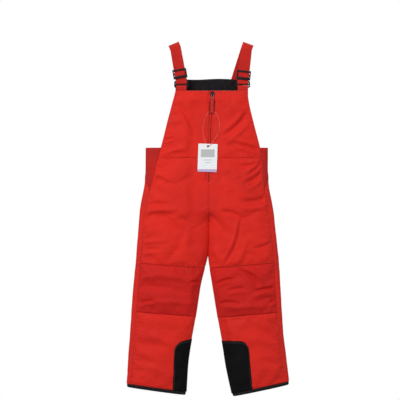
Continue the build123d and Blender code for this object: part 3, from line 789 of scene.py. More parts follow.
class Nodes:
    """A material's node tree, with short calls for the nodes that every finish here uses."""

    def __init__(self, name):
        self.material = bpy.data.materials.new(name)
        self.material.use_nodes = True
        self.tree = self.material.node_tree
        self.shader = self.tree.nodes["Principled BSDF"]

    def add(self, kind, **values):
        node = self.tree.nodes.new(kind)
        for key, value in values.items():
            setattr(node, key, value)
        return node

    def link(self, source, target):
        self.tree.links.new(source, target)

    def math(self, operation, first, second=0.0):
        node = self.add("ShaderNodeMath", operation=operation)
        for socket, value in zip(node.inputs, (first, second)):
            if isinstance(value, (int, float)):
                socket.default_value = value
            else:
                self.link(value, socket)
        return node.outputs[0]

    def noise(self, scale, detail=3.0, roughness=0.5, stretch=(1, 1, 1)):
        place = self.add("ShaderNodeTexCoord")
        mapping = self.add("ShaderNodeMapping")
        mapping.inputs["Scale"].default_value = stretch
        noise = self.add("ShaderNodeTexNoise")
        noise.inputs["Scale"].default_value = scale
        noise.inputs["Detail"].default_value = detail
        noise.inputs["Roughness"].default_value = roughness
        self.link(place.outputs["Object"], mapping.inputs["Vector"])
        self.link(mapping.outputs["Vector"], noise.inputs["Vector"])
        return noise.outputs["Fac"]

    def mix(self, share, first, second):
        node = self.add("ShaderNodeMix", data_type="RGBA")
        for socket, value in zip((node.inputs[0], node.inputs[6], node.inputs[7]),
                                 (share, first, second)):
            if isinstance(value, (list, tuple, float, int)):
                socket.default_value = value
            else:
                self.link(value, socket)
        return node.outputs[2]

    def spread(self, value, low, high, to_low=0.0, to_high=1.0):
        node = self.add("ShaderNodeMapRange")
        node.inputs["From Min"].default_value = low
        node.inputs["From Max"].default_value = high
        node.inputs["To Min"].default_value = to_low
        node.inputs["To Max"].default_value = to_high
        self.link(value, node.inputs["Value"])
        return node.outputs["Result"]

    def flat(self):
        """The cloth's own flat coordinates, in metres: across and along."""
        uv = self.add("ShaderNodeUVMap", uv_map="cloth")
        parts = self.add("ShaderNodeSeparateXYZ")
        self.link(uv.outputs["UV"], parts.inputs[0])
        return parts.outputs[0], parts.outputs[1]

    def place(self):
        """Place in the part's frame, in metres: x, y, z."""
        where = self.add("ShaderNodeTexCoord")
        parts = self.add("ShaderNodeSeparateXYZ")
        self.link(where.outputs["Object"], parts.inputs[0])
        return parts.outputs

    def wave(self, value, pitch):
        return self.math("SINE", self.math("MULTIPLY", value, 2 * math.pi / pitch))

    def relief(self, height, strength, distance):
        bump = self.add("ShaderNodeBump")
        bump.inputs["Strength"].default_value = strength
        bump.inputs["Distance"].default_value = distance
        self.link(height, bump.inputs["Height"])
        self.link(bump.outputs["Normal"], self.shader.inputs["Normal"])

    def finish(self, colour_source, roughness, sheen=0.0, metallic=0.0, specular=0.5):
        if isinstance(colour_source, (list, tuple)):
            self.shader.inputs["Base Color"].default_value = colour_source
        else:
            self.link(colour_source, self.shader.inputs["Base Color"])
        if isinstance(roughness, (int, float)):
            self.shader.inputs["Roughness"].default_value = roughness
        else:
            self.link(roughness, self.shader.inputs["Roughness"])
        self.shader.inputs["Sheen Weight"].default_value = sheen
        self.shader.inputs["Sheen Roughness"].default_value = 0.45
        self.shader.inputs["Metallic"].default_value = metallic
        self.shader.inputs["Specular IOR Level"].default_value = specular
        return self.material


def woven(name, base, shade, pitch=0.0011, sheen=0.04, creased=1.0, specular=0.2):
    """Plain-weave outdoor cloth: fine weave, crumples, fold lines, and uneven dye and shine."""
    nodes = Nodes(name)
    across, along = nodes.flat()
    weave = nodes.math("MULTIPLY", nodes.wave(across, pitch), nodes.wave(along, pitch))
    mottle = nodes.noise(11, 4, 0.55)
    crumple = nodes.noise(48, 3, 0.55, (1, 1, 1.8))
    grain = nodes.noise(900, 2)
    lines = nodes.math("SUBTRACT", nodes.noise(9, 1.5, 0.4, (1, 1, 2)), 0.5)
    contour = nodes.math("ABSOLUTE", lines)
    fold = nodes.math("MULTIPLY", nodes.spread(contour, 0, 0.022, 1, 0),
                      nodes.spread(nodes.noise(6, 2), 0.46, 0.62))
    tone = nodes.mix(nodes.spread(mottle, 0.3, 0.72), shade, base)
    threads = nodes.mix(nodes.spread(weave, -1, 1, 0, 0.16), tone, shade)
    fleck = nodes.mix(nodes.spread(grain, 0.45, 0.75, 0, 0.18), threads, shade)
    height = nodes.math("ADD", nodes.math("MULTIPLY", weave, 0.12),
                        nodes.math("MULTIPLY", crumple, 3.2 * creased))
    height = nodes.math("SUBTRACT", height, nodes.math("MULTIPLY", fold, 1.1 * creased))
    nodes.relief(height, 0.5, 0.001)
    return nodes.finish(fleck, nodes.spread(mottle, 0.3, 0.7, 0.6, 0.78), sheen, specular=specular)


def ribbed(name, base, shade, pitch, along=False, sheen=0.08):
    """Stretch cloth or webbing, with ribs up it or across it, painted shade in the grooves between
    the ribs, and a fine weave over them.
    """
    nodes = Nodes(name)
    sideways, lengthways = nodes.flat()
    rib = nodes.wave(lengthways if along else sideways, pitch)
    cross = nodes.wave(sideways if along else lengthways, pitch * 0.55)
    mottle = nodes.noise(16, 4, 0.6)
    tone = nodes.mix(nodes.spread(mottle, 0.3, 0.7), shade, base)
    # painted shade: the grooves between the ribs take on the shade colour
    rows = nodes.mix(nodes.spread(rib, -1, 0.6, 0.45, 0), tone, shade)
    height = nodes.math("ADD", rib, nodes.math("MULTIPLY", cross, 0.35))
    nodes.relief(height, 0.6, 0.0004)
    return nodes.finish(rows, nodes.spread(mottle, 0.3, 0.7, 0.68, 0.86), sheen, specular=0.25)


def fleece(name, base, shade):
    """Short brushed pile."""
    nodes = Nodes(name)
    pile = nodes.noise(420, 5, 0.7)
    tufts = nodes.noise(90, 3, 0.6)
    tone = nodes.mix(nodes.spread(tufts, 0.35, 0.7), shade, base)
    height = nodes.math("ADD", pile, tufts)
    nodes.relief(height, 0.9, 0.0012)
    return nodes.finish(tone, nodes.spread(pile, 0.3, 0.7, 0.85, 1), 0.6, specular=0.1)


def moulded(name, base, worn, rough=(0.3, 0.48)):
    """Moulded plastic: fine grain, patchy roughness, and edges rubbed paler."""
    nodes = Nodes(name)
    grain = nodes.noise(1400, 3)
    smear = nodes.noise(60, 3)
    geometry = nodes.add("ShaderNodeNewGeometry")
    edge = nodes.spread(geometry.outputs["Pointiness"], 0.52, 0.62)
    rub = nodes.math("MULTIPLY", edge, nodes.spread(smear, 0.35, 0.65))
    tone = nodes.mix(rub, base, worn)
    nodes.relief(grain, 0.25, 0.0002)
    return nodes.finish(tone, nodes.spread(smear, 0.3, 0.7, *rough), specular=0.3)


def framed(name, node, base, rim):
    """Moulded rubber tab: grained middle with a raised rim along its long edges, where the colour is
    darkened as painted shade.
    """
    nodes = Nodes(name)
    low, high = node_box(node)
    x = nodes.place()[0]
    off = nodes.math("ABSOLUTE", nodes.math("SUBTRACT", x, (low[0] + high[0]) / 2 * MM))
    half = (high[0] - low[0]) / 2 * MM
    edge = nodes.spread(off, half - 2.6 * MM, half - 1.6 * MM)
    grain = nodes.noise(900, 3)
    ridge = nodes.wave(nodes.place()[2], 0.0024)
    height = nodes.math("ADD", nodes.math("MULTIPLY", ridge, 0.6), nodes.math("ADD", grain, edge))
    nodes.relief(height, 0.5, 0.0004)
    # painted shade: the rim colour darkens the tab towards its long edges
    tone = nodes.mix(edge, nodes.mix(nodes.spread(grain, 0.3, 0.7, 0, 0.35), base, rim), rim)
    return nodes.finish(tone, nodes.spread(grain, 0.3, 0.7, 0.5, 0.7), specular=0.25)


def metal(name, base, dull):
    """Plated metal: brushed grain, and dulled patches."""
    nodes = Nodes(name)
    brushed = nodes.noise(300, 2, 0.5, (1, 1, 12))
    patches = nodes.noise(120, 3)
    tone = nodes.mix(nodes.spread(patches, 0.35, 0.7), base, dull)
    nodes.relief(brushed, 0.2, 0.0001)
    return nodes.finish(tone, nodes.spread(brushed, 0.3, 0.7, 0.25, 0.45), metallic=1.0)


def thread(name, base, shade):
    """Twisted sewing thread."""
    nodes = Nodes(name)
    twist = nodes.noise(2600, 2, 0.5, (1, 1, 2))
    nodes.relief(twist, 0.5, 0.0002)
    return nodes.finish(nodes.mix(nodes.spread(twist, 0.35, 0.65), shade, base), 0.62, 0.2)


def printed_card(name):
    """Coated white card with a plain grey block, two hairlines and a pale lilac foot."""
    nodes = Nodes(name)
    x, _, z = nodes.place()

    def inside(value, low, high):
        over = nodes.math("GREATER_THAN", value, low * MM)
        return nodes.math("MULTIPLY", over, nodes.math("LESS_THAN", value, high * MM))

    def area(left, right, low, high):
        return nodes.math("MULTIPLY", inside(x, left, right), inside(z, low, high))

    fibre = nodes.noise(500, 4)
    tone = nodes.mix(nodes.spread(fibre, 0.3, 0.7), colour(232, 236, 240), colour(246, 248, 250))
    for box, ink in (
        ((-17.5, 19.5, -307, -286), colour(186, 190, 189)),
        ((-10, 12.5, -315.2, -314), colour(150, 154, 156)),
        ((-6, 8.5, -322.2, -321.2), colour(150, 154, 156)),
        ((-40, 40, -348, -339.5), colour(196, 170, 206)),
    ):
        tone = nodes.mix(area(*box), tone, ink)
    nodes.relief(fibre, 0.08, 0.0001)
    return nodes.finish(tone, nodes.spread(fibre, 0.3, 0.7, 0.32, 0.42))


RED = colour(228, 40, 26)
RED_SHADE = colour(212, 31, 21)
MATERIALS = {
    "shell_red": woven("shell_red", RED, RED_SHADE),
    "knee_red": woven("knee_red", colour(212, 29, 22), colour(196, 24, 18), 0.0012),
    "stretch_red": ribbed("stretch_red", colour(212, 30, 22), colour(184, 24, 18), 0.003),
    "webbing_red": ribbed("webbing_red", colour(221, 39, 27), colour(192, 28, 20), 0.0021, True),
    # tape_red: lighter than the shell red, painted light against the shade in the zip's slot
    "tape_red": ribbed("tape_red", colour(238, 50, 36), colour(218, 38, 28), 0.0012),
    "thread_red": thread("thread_red", colour(226, 52, 40), colour(176, 26, 21)),
    "fleece_black": fleece("fleece_black", colour(30, 27, 30), colour(18, 16, 18)),
    "lining_grey": woven("lining_grey", colour(92, 95, 100), colour(74, 77, 82), 0.0007, 0.1),
    "elastic_black": ribbed("elastic_black", colour(30, 29, 30), colour(14, 14, 15), 0.0016),
    "binding_black": ribbed("binding_black", colour(18, 17, 18), colour(9, 9, 10), 0.0012, True,
                            sheen=0.03),
    "guard_black": woven("guard_black", colour(14, 14, 15), colour(8, 8, 9), 0.0016, 0,
                         creased=0.4, specular=0.1),
    "gaiter_black": woven("gaiter_black", colour(38, 38, 41), colour(24, 24, 26), 0.0007, 0.1),
    "thread_black": thread("thread_black", colour(58, 57, 58), colour(28, 28, 29)),
    "label_white": woven("label_white", colour(236, 236, 232), colour(222, 222, 217), 0.0005),
    "coil_red": moulded("coil_red", colour(222, 42, 32), colour(228, 64, 52)),
    "zip_metal": metal("zip_metal", colour(172, 172, 176), colour(110, 110, 114)),
    "slider_dark": metal("slider_dark", colour(74, 72, 74), colour(40, 39, 41)),
    # pull_red: the second colour is painted shade along the tab's long edges
    "pull_red": framed("pull_red", "zip_tab", colour(206, 36, 32), colour(118, 14, 14)),
    "plastic_black": moulded("plastic_black", colour(8, 8, 9), colour(20, 20, 22), (0.42, 0.6)),
    "tag_card": printed_card("tag_card"),
    "tag_cord": thread("tag_cord", colour(244, 120, 96), colour(216, 84, 66)),
}


# ---- camera, lights, floor ----
SENSOR = 36             # millimetres
VIEW_WIDTH = 1.08       # metres seen across the picture, 6.975 m from the camera
VIEW_DISTANCE = 6.975
camera = bpy.data.objects.new("camera", bpy.data.cameras.new("camera"))
camera.location = (-0.020, -7.0, -0.4226)
camera.rotation_euler = (math.radians(90), 0, 0)
camera.data.sensor_width = SENSOR
camera.data.lens = SENSOR * VIEW_DISTANCE / VIEW_WIDTH
camera.data.clip_end = 50
bpy.context.scene.collection.objects.link(camera)
bpy.context.scene.camera = camera


def lamp(name, place, target, size, power):
    light = bpy.data.lights.new(name, "AREA")
    light.shape = "DISK"
    light.size = size
    light.energy = power
    holder = bpy.data.objects.new(name, light)
    holder.location = place
    holder.rotation_euler = (Vector(target) - Vector(place)).to_track_quat("-Z", "Y").to_euler()
    bpy.context.scene.collection.objects.link(holder)


MIDDLE = (0, 0, -0.48)
lamp("key", (-1.7, -2.6, 1.3), MIDDLE, 1.6, KEY_POWER)
lamp("fill", (2.4, -2.2, 0.2), MIDDLE, 2.4, FILL_POWER)
lamp("back_light", (0.6, 2.8, 1.2), MIDDLE, 2.0, BACK_POWER)

world = bpy.data.worlds.new("studio")
world.use_nodes = True
backdrop = world.node_tree.nodes["Background"]
backdrop.inputs["Color"].default_value = (1, 1, 1, 1)
backdrop.inputs["Strength"].default_value = 1
ambient = world.node_tree.nodes.new("ShaderNodeBackground")
ambient.inputs["Color"].default_value = (1, 1, 1, 1)
ambient.inputs["Strength"].default_value = AMBIENT
seen = world.node_tree.nodes.new("ShaderNodeLightPath")
studio = world.node_tree.nodes.new("ShaderNodeMixShader")
world.node_tree.links.new(seen.outputs["Is Camera Ray"], studio.inputs[0])
world.node_tree.links.new(ambient.outputs[0], studio.inputs[1])
world.node_tree.links.new(backdrop.outputs[0], studio.inputs[2])
world.node_tree.links.new(studio.outputs[0], world.node_tree.nodes["World Output"].inputs[0])
bpy.context.scene.world = world
bpy.context.scene.view_settings.view_transform = "Standard"

floor_nodes = Nodes("floor")
floor_x, floor_y, _ = floor_nodes.place()
speckle = floor_nodes.noise(40, 4)
floor_tone = floor_nodes.mix(speckle, colour(238, 238, 238), colour(248, 248, 248))
rim = floor_nodes.math("ADD", floor_nodes.math("MULTIPLY", floor_x, floor_x),
                       floor_nodes.math("MULTIPLY", floor_y, floor_y))
glow = floor_nodes.spread(rim, 0, (0.7 * FLOOR_REACH) ** 2, *FLOOR_GLOW)
floor_nodes.link(floor_tone, floor_nodes.shader.inputs["Emission Color"])
floor_nodes.link(glow, floor_nodes.shader.inputs["Emission Strength"])
angles = np.linspace(0, 2 * math.pi, 97)[:-1]
rim_points = np.stack([np.cos(angles), np.sin(angles), 0 * angles], axis=-1) * FLOOR_REACH
rim_points[:, 2] = FLOOR_Z
floor = add_mesh("floor", rim_points / MM, [tuple(range(len(angles)))],
                 floor_nodes.finish(floor_tone, 0.6))
floor.visible_diffuse = False
floor.visible_glossy = False


# ---- the tag's string ----
STRING_ROUTE = [
    (11.8, -21.88, -184.32), (20.5, -21.9, -184.7), (26.5, -22.3, -192), (32, -23, -208),
    (34.2, -24.2, -228), (26, -25.8, -250), (14, -27.2, -267), (5, -27.6, -278.6),
    (-1.8, -25.1, -275.8), (-7, -24.7, -262.5), (-12.8, -24, -242), (-12.2, -23.3, -223),
    (-7.5, -22.7, -206), (-1, -22.1, -193), (2.5, -21.87, -183.95), (11.2, -21.88, -184.29),
]
STRING_WIDTH = 0.0012
curve = bpy.data.curves.new("tag_cord", "CURVE")
curve.dimensions = "3D"
curve.bevel_depth = STRING_WIDTH / 2
curve.bevel_resolution = 4
curve.resolution_u = 12
spline = curve.splines.new("NURBS")
spline.points.add(len(STRING_ROUTE) - 1)
for point, place in zip(spline.points, STRING_ROUTE):
    point.co = (*(value * MM for value in place), 1)
spline.order_u = 3
spline.use_endpoint_u = True
curve.materials.append(MATERIALS["tag_cord"])
tag_cord = bpy.data.objects.new("tag_cord", curve)
bpy.context.scene.collection.objects.link(tag_cord)
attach(tag_cord, "swing_tag")
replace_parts(tag_cord, "tag_string")


# ---- placing finished pieces ----
def on_body(piece, body):
    """Ride one body. "hip" and "knee" cloth, and a brace's "tail", stay where they are, with their
    place baked into the mesh.
    """
    kind, _, side = body.partition(" ")
    if kind == "hip":
        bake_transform(piece)
    elif kind == "knee":
        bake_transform(piece)
    elif kind == "tail":
        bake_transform(piece)
    else:
        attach(piece, kind)
    return piece


def padded_cloth(name, grid, outward, thickness, material, body, nodes, ring=False):
    """One padded piece on its body, in the place of its CAD nodes."""
    piece = cloth_mesh(name, grid, outward, thickness, MATERIALS[material], ring)
    on_body(piece, body)
    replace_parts(piece, *nodes)


def cloth_sheet(name, grid, outward, thickness, material, body, nodes, ring=False, turned_in=0,
                **lies):
    """One unpadded sheet on its body, in the place of its CAD nodes. Lies: held, rests_on, which are
    not used.
    """
    piece = cloth_mesh(name, grid, outward, thickness, MATERIALS[material], ring)
    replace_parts(on_body(piece, body), *nodes)
    width, length = flat_size(grid)


def stitch(name, lines, body, thread_name="thread_red"):
    """Rows of stitches, given as (points, normals) lines, as one piece."""
    parts = [dashes(line, normal) for line, normal in lines]
    vertices, faces = joined(parts)
    on_body(add_mesh(name, vertices, faces, MATERIALS[thread_name]), body)


settle([name for name in panels if panels[name]["grow"] > 0])

# ---- the padded outer panels ----
# panel: body, material, replaced nodes, stitching as (border, distance inside it)
def panel_plan(side):
    return {
        f"bib_{side}": ("torso", "shell_red", [f"front_bib_{side}"],
                        [("top", 3), ("top", 9.5), ("start", 3.5), ("end", 4.5)]),
        f"front_leg_{side}": (f"hip {side}", "shell_red",
                              [f"front_rise_{side}", f"front_thigh_{side}"],
                              [("top", 2.6), ("start", 2.6), ("end", 4.5), ("low", 2.6)]),
        f"knee_{side}": (f"knee {side}", "knee_red", [f"knee_panel_{side}"], []),
        f"front_shin_{side}": (f"shin_{side}", "shell_red", [f"front_shin_{side}"],
                               [("top", 2.6), ("start", 2.6), ("low", 3)]),
        f"side_{side}": ("torso", "stretch_red", [f"side_panel_{side}"],
                         [("top", 3), ("top", 8)]),
        f"back_leg_{side}": (f"hip {side}", "shell_red",
                             [f"back_seat_{side}", f"back_thigh_{side}"],
                             [("end", 2.6), ("low", 2.6), ("top", 2.6)]),
        f"back_shin_{side}": (f"knee {side}", "shell_red", [f"back_shin_{side}"],
                              [("low", 3)]),
    }


plans = {"back_bib": ("torso", "shell_red", ["back_panel"],
                      [("top", 3), ("start", 3.5), ("end", 3.5)])}
for side in SIDES:
    plans.update(panel_plan(side))
for name, (body, material, nodes, seams) in plans.items():
    entry = panels[name]
    padded_cloth(f"padded_{name}", entry["grid"], entry["outward"], CLOTH, material, body, nodes)
    if seams:
        normal = grid_normals(entry["grid"], entry["outward"])
        lines = [line_near(entry["grid"], normal, border, inset) for border, inset in seams]
        stitch(f"stitch_{name}", lines, body)


# ---- scuff guards on the inner ankles ----
def sample(field, s, t):
    """Read a grid between its points, at shares s across and t up it."""
    rows, columns = field.shape[:2]
    row = np.clip(t * (rows - 1), 0, rows - 1.001)
    column = np.clip(s * (columns - 1), 0, columns - 1.001)
    low = np.floor(row).astype(int)
    left = np.floor(column).astype(int)
    up = (row - low)[..., None]
    over = (column - left)[..., None]
    first = field[low, left] * (1 - over) + field[low, left + 1] * over
    second = field[low + 1, left] * (1 - over) + field[low + 1, left + 1] * over
    return first * (1 - up) + second * up


GUARD_EDGE = {
    "right": outline([(-797, -88), (-832, -91), (-990, -95)]),
    "left": outline([(-797, 108), (-826, 112), (-990, 126)]),
}
GUARD_TOP = {"right": slanting(-40, -797, -88, -808), "left": slanting(30, -803, 108, -804)}
GUARD_CORNER = 20
GUARD_OUT = 1.2         # outer face of the guard above the panel's, and the guard's thickness
GUARD_CLOTH = 1.1
GUARD_ROWS = 61
GUARD_COLUMNS = 21


def guard_top(side, x, edge):
    """Top of the guard, with its outer corner rounded off."""
    inside = np.clip(GUARD_CORNER - SIGN[side] * (edge - x), 0, GUARD_CORNER)
    drop = GUARD_CORNER - np.sqrt(GUARD_CORNER**2 - inside**2)
    return GUARD_TOP[side](x) - drop


def guard_half(name, side):
    """The guard on one panel, as a grid from its outer edge to the inner seam."""
    base = panels[name]["base"]
    shares_up = np.linspace(0, 1, base.shape[0])
    shares_across = np.linspace(0, 1, base.shape[1])
    edge_x = GUARD_EDGE[side](base[..., 2])
    inside = SIGN[side] * (edge_x - base[..., 0])
    edge_share = np.array([np.interp(0, inside[row], shares_across)
                           for row in range(len(base))])
    over = base[..., 2] - guard_top(side, base[..., 0], edge_x)
    top_share = np.array([np.interp(0, over[:, column], shares_up)
                          for column in range(base.shape[1])])
    v, u = np.meshgrid(np.linspace(0, 1, GUARD_ROWS), np.linspace(0, 1, GUARD_COLUMNS),
                       indexing="ij")
    t = 0.4 * v
    for _ in range(8):
        start = np.interp(t, shares_up, edge_share)
        s = start * (1 - u) + u
        t = v * np.interp(s, shares_across, top_share)
    grid = sample(panels[name]["grid"], s, t)
    normal = sample(grid_normals(panels[name]["grid"], panels[name]["outward"]), s, t)
    return grid, normal


for side in SIDES:
    front, front_normal = guard_half(f"front_shin_{side}", side)
    rear, rear_normal = guard_half(f"back_shin_{side}", side)
    grid = np.concatenate([front, rear[:, -2::-1]], axis=1)
    normal = unit(np.concatenate([front_normal, rear_normal[:, -2::-1]], axis=1))
    grid = grid + normal * GUARD_OUT
    cloth_sheet(f"guard_{side}", grid, normal, GUARD_CLOTH, "guard_black", f"shin_{side}",
                [f"scuff_guard_{side}"], held="stretched",
                rests_on=[f"padded_front_shin_{side}"])
    rows = [line_near(grid, normal, border, inset) for border, inset in
            (("start", 3), ("end", 3), ("top", 3), ("top", 6))]
    stitch(f"stitch_guard_{side}", rows, f"shin_{side}", "thread_black")


# ---- tubes: hem bands, linings, gaiters ----
def tube_grid(edges, power, ends, inset, columns=181):
    """Closed tube between two ends, each a height against x. Inset has one value per row."""
    low, top = ends
    tau = np.linspace(-1, 3, columns)
    rows = len(inset)
    v, tau = np.meshgrid(np.linspace(0, 1, rows), tau, indexing="ij")
    depth = np.asarray(inset, float)[:, None]
    z = np.full(tau.shape, low(0.0)) * (1 - v) + top(0.0) * v
    for _ in range(5):
        points = around(edges(z), tau, z, power, depth)
        z = low(points[..., 0]) * (1 - v) + top(points[..., 0]) * v
    outward = points - np.stack([0 * z + points[..., 0].mean(), 0 * z, z], axis=-1)
    return points, outward, tau


def leg_tube_edges(side):
    return lambda z: leg_edges(side, z)


def quilted(grid, outward):
    """Push a tube's cloth in along wavy quilting lines."""
    normal = grid_normals(grid, outward)
    around_it = border_distances(grid)["start"]
    wave = grid[..., 2] + 5 * np.sin(around_it * 2 * math.pi / 60)
    off = np.abs((wave / QUILT_PITCH + 0.5) % 1 - 0.5) * QUILT_PITCH
    lift = QUILT_DEPTH * (1 - np.exp(-off / 6)) - QUILT_DEPTH
    return grid + normal * lift[..., None]


def gathers(tau):
    """Even gathers round a tube, from -1 to 1."""
    return np.sin(tau / 4 * 2 * math.pi * RUCHES)


for side in SIDES:
    edges = leg_tube_edges(side)
    band_inset = [1.2, -0.3, -0.9, -1.1, -1.1, -0.9, -0.2]
    grid, outward, _ = tube_grid(edges, LEG_POWER, (HEM[side], cuff(side)), band_inset)
    cloth_sheet(f"binding_{side}", grid, outward, BINDING, "binding_black", f"shin_{side}",
                [f"hem_band_{side}"], ring=True, turned_in=BINDING, held="folded",
                rests_on=[f"padded_front_shin_{side}"])
    normal = grid_normals(grid, outward)
    stitch(f"stitch_binding_{side}", [line_near(grid, normal, "top", 2.2)], f"shin_{side}",
           "thread_black")

    for part, body, low, high, inset in (
        ("thigh", "hip", LINING_SPLIT, THIGH_LINING_TOP, np.interp(np.arange(60), (0, 59), (6, 9))),
        ("shin", "knee", SHIN_LINING_END, LINING_SPLIT, [6] * 115),
    ):
        grid, outward, _ = tube_grid(edges, LEG_POWER, (level(low), level(high)), inset)
        padded_cloth(f"leg_lining_{part}_{side}", quilted(grid, outward), outward, LINING_CLOTH,
                     "lining_grey", f"{body} {side}", [f"{part}_lining_{side}"],
                     ring=True)

    grid, outward, tau = tube_grid(edges, LEG_POWER, map(level, GAITER), [8.4] * 30, RUCHED)
    low = smoothstep((-850 - grid[..., 2]) / 50)
    ruche = 1.3 * low * gathers(tau)
    grid = grid + grid_normals(grid, outward) * (ruche - 1.2 * low)[..., None]
    cloth_sheet(f"gaiter_{side}", grid, outward, 0.7, "gaiter_black", f"shin_{side}",
                [f"snow_gaiter_{side}"], ring=True, held="gathered",
                rests_on=[f"leg_lining_shin_{side}"])

    grid, outward, tau = tube_grid(edges, LEG_POWER, map(level, CUFF_ELASTIC), [8.2] * 7, RUCHED)
    ruche = 0.8 * gathers(tau)
    grid = grid + grid_normals(grid, outward) * (ruche - 1.2)[..., None]
    cloth_sheet(f"cuff_elastic_{side}", grid, outward, 1.6, "elastic_black", f"shin_{side}",
                [f"gaiter_elastic_{side}"], ring=True, held="gathered",
                rests_on=[f"gaiter_{side}"])

inset_up = [9] * 60 + [8, 6.5, 5, 3.6]
grid, outward, _ = tube_grid(torso_edges, TORSO_POWER, map(level, BODY_LINING), inset_up)
padded_cloth("body_lining", quilted(grid, outward), outward, LINING_CLOTH, "lining_grey", "torso",
             ["torso_lining"], ring=True)


# ---- flat pieces inside: facing, collar, elastic, label, gusset ----
def strip_between(left, right, path, columns):
    """Sheet across the garment: path gives (y, z) points up it, the edges give x at z."""
    path = along_path(path)
    x_share = np.linspace(0, 1, columns)
    y, z = path[:, :1], path[:, 1:]
    x = right(z) * (1 - x_share) + left(z) * x_share
    return np.stack([x, y + 0 * x, z + 0 * x], axis=-1)


def flat_piece(name, grid, outward, thickness, material, nodes, held, rests_on):
    """Sheet on the torso whose outer face looks one way all over."""
    direction = np.broadcast_to(np.asarray(outward, float), grid.shape)
    cloth_sheet(name, grid, direction, thickness, material, "torso", nodes, held=held,
                rests_on=rests_on)


def wavy(grid, height, seed):
    """Small soft unevenness along y."""
    grid = grid.copy()
    grid[..., 1] += ripple(grid, seed, ((60, height), (28, height / 2)))
    return grid


facing_low = node_box("bib_facing")[0]
facing_path = [(FRONT_TOP_Y + 1.4, BIB_TOP - 1.2), (FRONT_TOP_Y + 3, BIB_TOP),
               (FRONT_TOP_Y + 9, BIB_TOP + 0.6), (-4, BIB_TOP), (-1.2, BIB_TOP - 3),
               (-1.4, BIB_TOP - 20), (facing_low[1] - 0.8, facing_low[2])]
grid = strip_between(outline([(-100, 97), (BIB_TOP, 99), (-190, 117)]),
                     outline([(-100, -80), (BIB_TOP, -83), (-190, -98)]), facing_path, 90)
grid[..., 1] += 2.6 * smoothstep((np.abs(grid[..., 0] - 9) - 66) / 24)
flat_piece("inner_facing", wavy(grid, 0.4, 5), (0, 1, 0.4), 1.6, "fleece_black",
           ["bib_facing"], "folded", ["padded_bib_right", "padded_bib_left"])

collar_low = node_box("back_collar")[0]
collar_path = [(BACK_TOP_Y + 3, BACK_TOP - 7), (BACK_TOP_Y + 2.8, BACK_TOP - 1),
               (BACK_TOP_Y - 0.4, BACK_TOP + 1.4), (collar_low[1] + 1.5, BACK_TOP + 1),
               (collar_low[1] - 0.4, BACK_TOP - 3), (collar_low[1] - 0.4, collar_low[2])]
grid = strip_between(outline([(-90, 94), (BACK_TOP, 95), (-150, 100)]),
                     outline([(-90, -85), (BACK_TOP, -86), (-150, -87)]), collar_path, 90)
grid[..., 2] += 1.2 * np.sin(grid[..., 0] / 21) * smoothstep((grid[..., 2] - BACK_TOP + 30) / 25)
flat_piece("fleece_collar", wavy(grid, 0.5, 6), (0, -1, 0.3), 1.8, "fleece_black",
           ["back_collar"], "folded", ["padded_back_bib"])

label_low, label_high = node_box("care_label")
rows = np.linspace(label_low[2], label_high[2], 25)
columns = np.linspace(label_low[0], label_high[0], 15)
z, x = np.meshgrid(rows, columns, indexing="ij")
hang = 1 - (z - label_low[2]) / (label_high[2] - label_low[2])
y = label_low[1] - 0.2 - 1.6 * hang**2 * (1 + 0.4 * np.sin(x / 9))
flat_piece("care_label_cloth", np.stack([x, y, z], axis=-1), (0, -1, 0), 0.5, "label_white",
           ["care_label"], "hung", ["fleece_collar"])

elastic_low, elastic_high = node_box("waist_elastic")
z, x = np.meshgrid(np.linspace(elastic_low[2], elastic_high[2], 11),
                   np.linspace(elastic_low[0] + 3, elastic_high[0] - 8, 301), indexing="ij")
depth = elastic_low[1] - 1 - 3 * np.abs((x - 6) / 124) ** 3
y = depth + 0.6 * np.sin(x / 1.15)
flat_piece("back_elastic", np.stack([x, y, z], axis=-1), (0, -1, 0), 1.4, "elastic_black",
           ["waist_elastic"], "gathered", ["padded_back_bib"])

gusset_low, gusset_high = node_box("crotch_gusset")
y, x = np.meshgrid(np.linspace(-7, gusset_high[1] - 6, 31), np.linspace(-18, 26, 27),
                   indexing="ij")
z = gusset_low[2] + 2.4 + 0.004 * (x - CENTRE_X) ** 2 - 0.003 * y**2
flat_piece("seat_gusset", np.stack([x, y, z], axis=-1), (0, 0, -1), 1.6, "shell_red",
           ["crotch_gusset"], "stretched", ["padded_front_leg_right", "padded_front_leg_left"])


# ---- zip ----
ZIP_ACROSS = np.array([0.999056, -0.001955, -0.043393])
ZIP_UP = np.array([0.043437, 0.04497, 0.998044])
ZIP_OUT = np.cross(ZIP_ACROSS, ZIP_UP)
ZIP_ORIGIN = np.array([14, FRONT_TOP_Y, BIB_TOP]) - 2.4 * ZIP_OUT
ZIP_LENGTH = (node_box("zip_tape_left")[1][2] - ZIP_END) / ZIP_UP[2]


def in_zip(across, along, out):
    """Point beside the zip: distance from its middle, along it from the top, and out."""
    across, along, out = np.broadcast_arrays(*(np.asarray(v, float) for v in (across, along, out)))
    return (ZIP_ORIGIN + across[..., None] * ZIP_ACROSS + along[..., None] * ZIP_UP
            + out[..., None] * ZIP_OUT)


def zip_strip(name, near, far, out, thickness, material, node, extra=0):
    """Strip along the zip, between two distances from its middle."""
    along, across = np.meshgrid(np.linspace(-ZIP_LENGTH - extra, 0, 120),
                                np.linspace(near, far, 9), indexing="ij")
    grid = in_zip(across, along, out + 0.12 * np.sin(along / 7))
    flat_piece(name, grid, ZIP_OUT, thickness, material, [node], "stretched",
               ["padded_bib_right"])


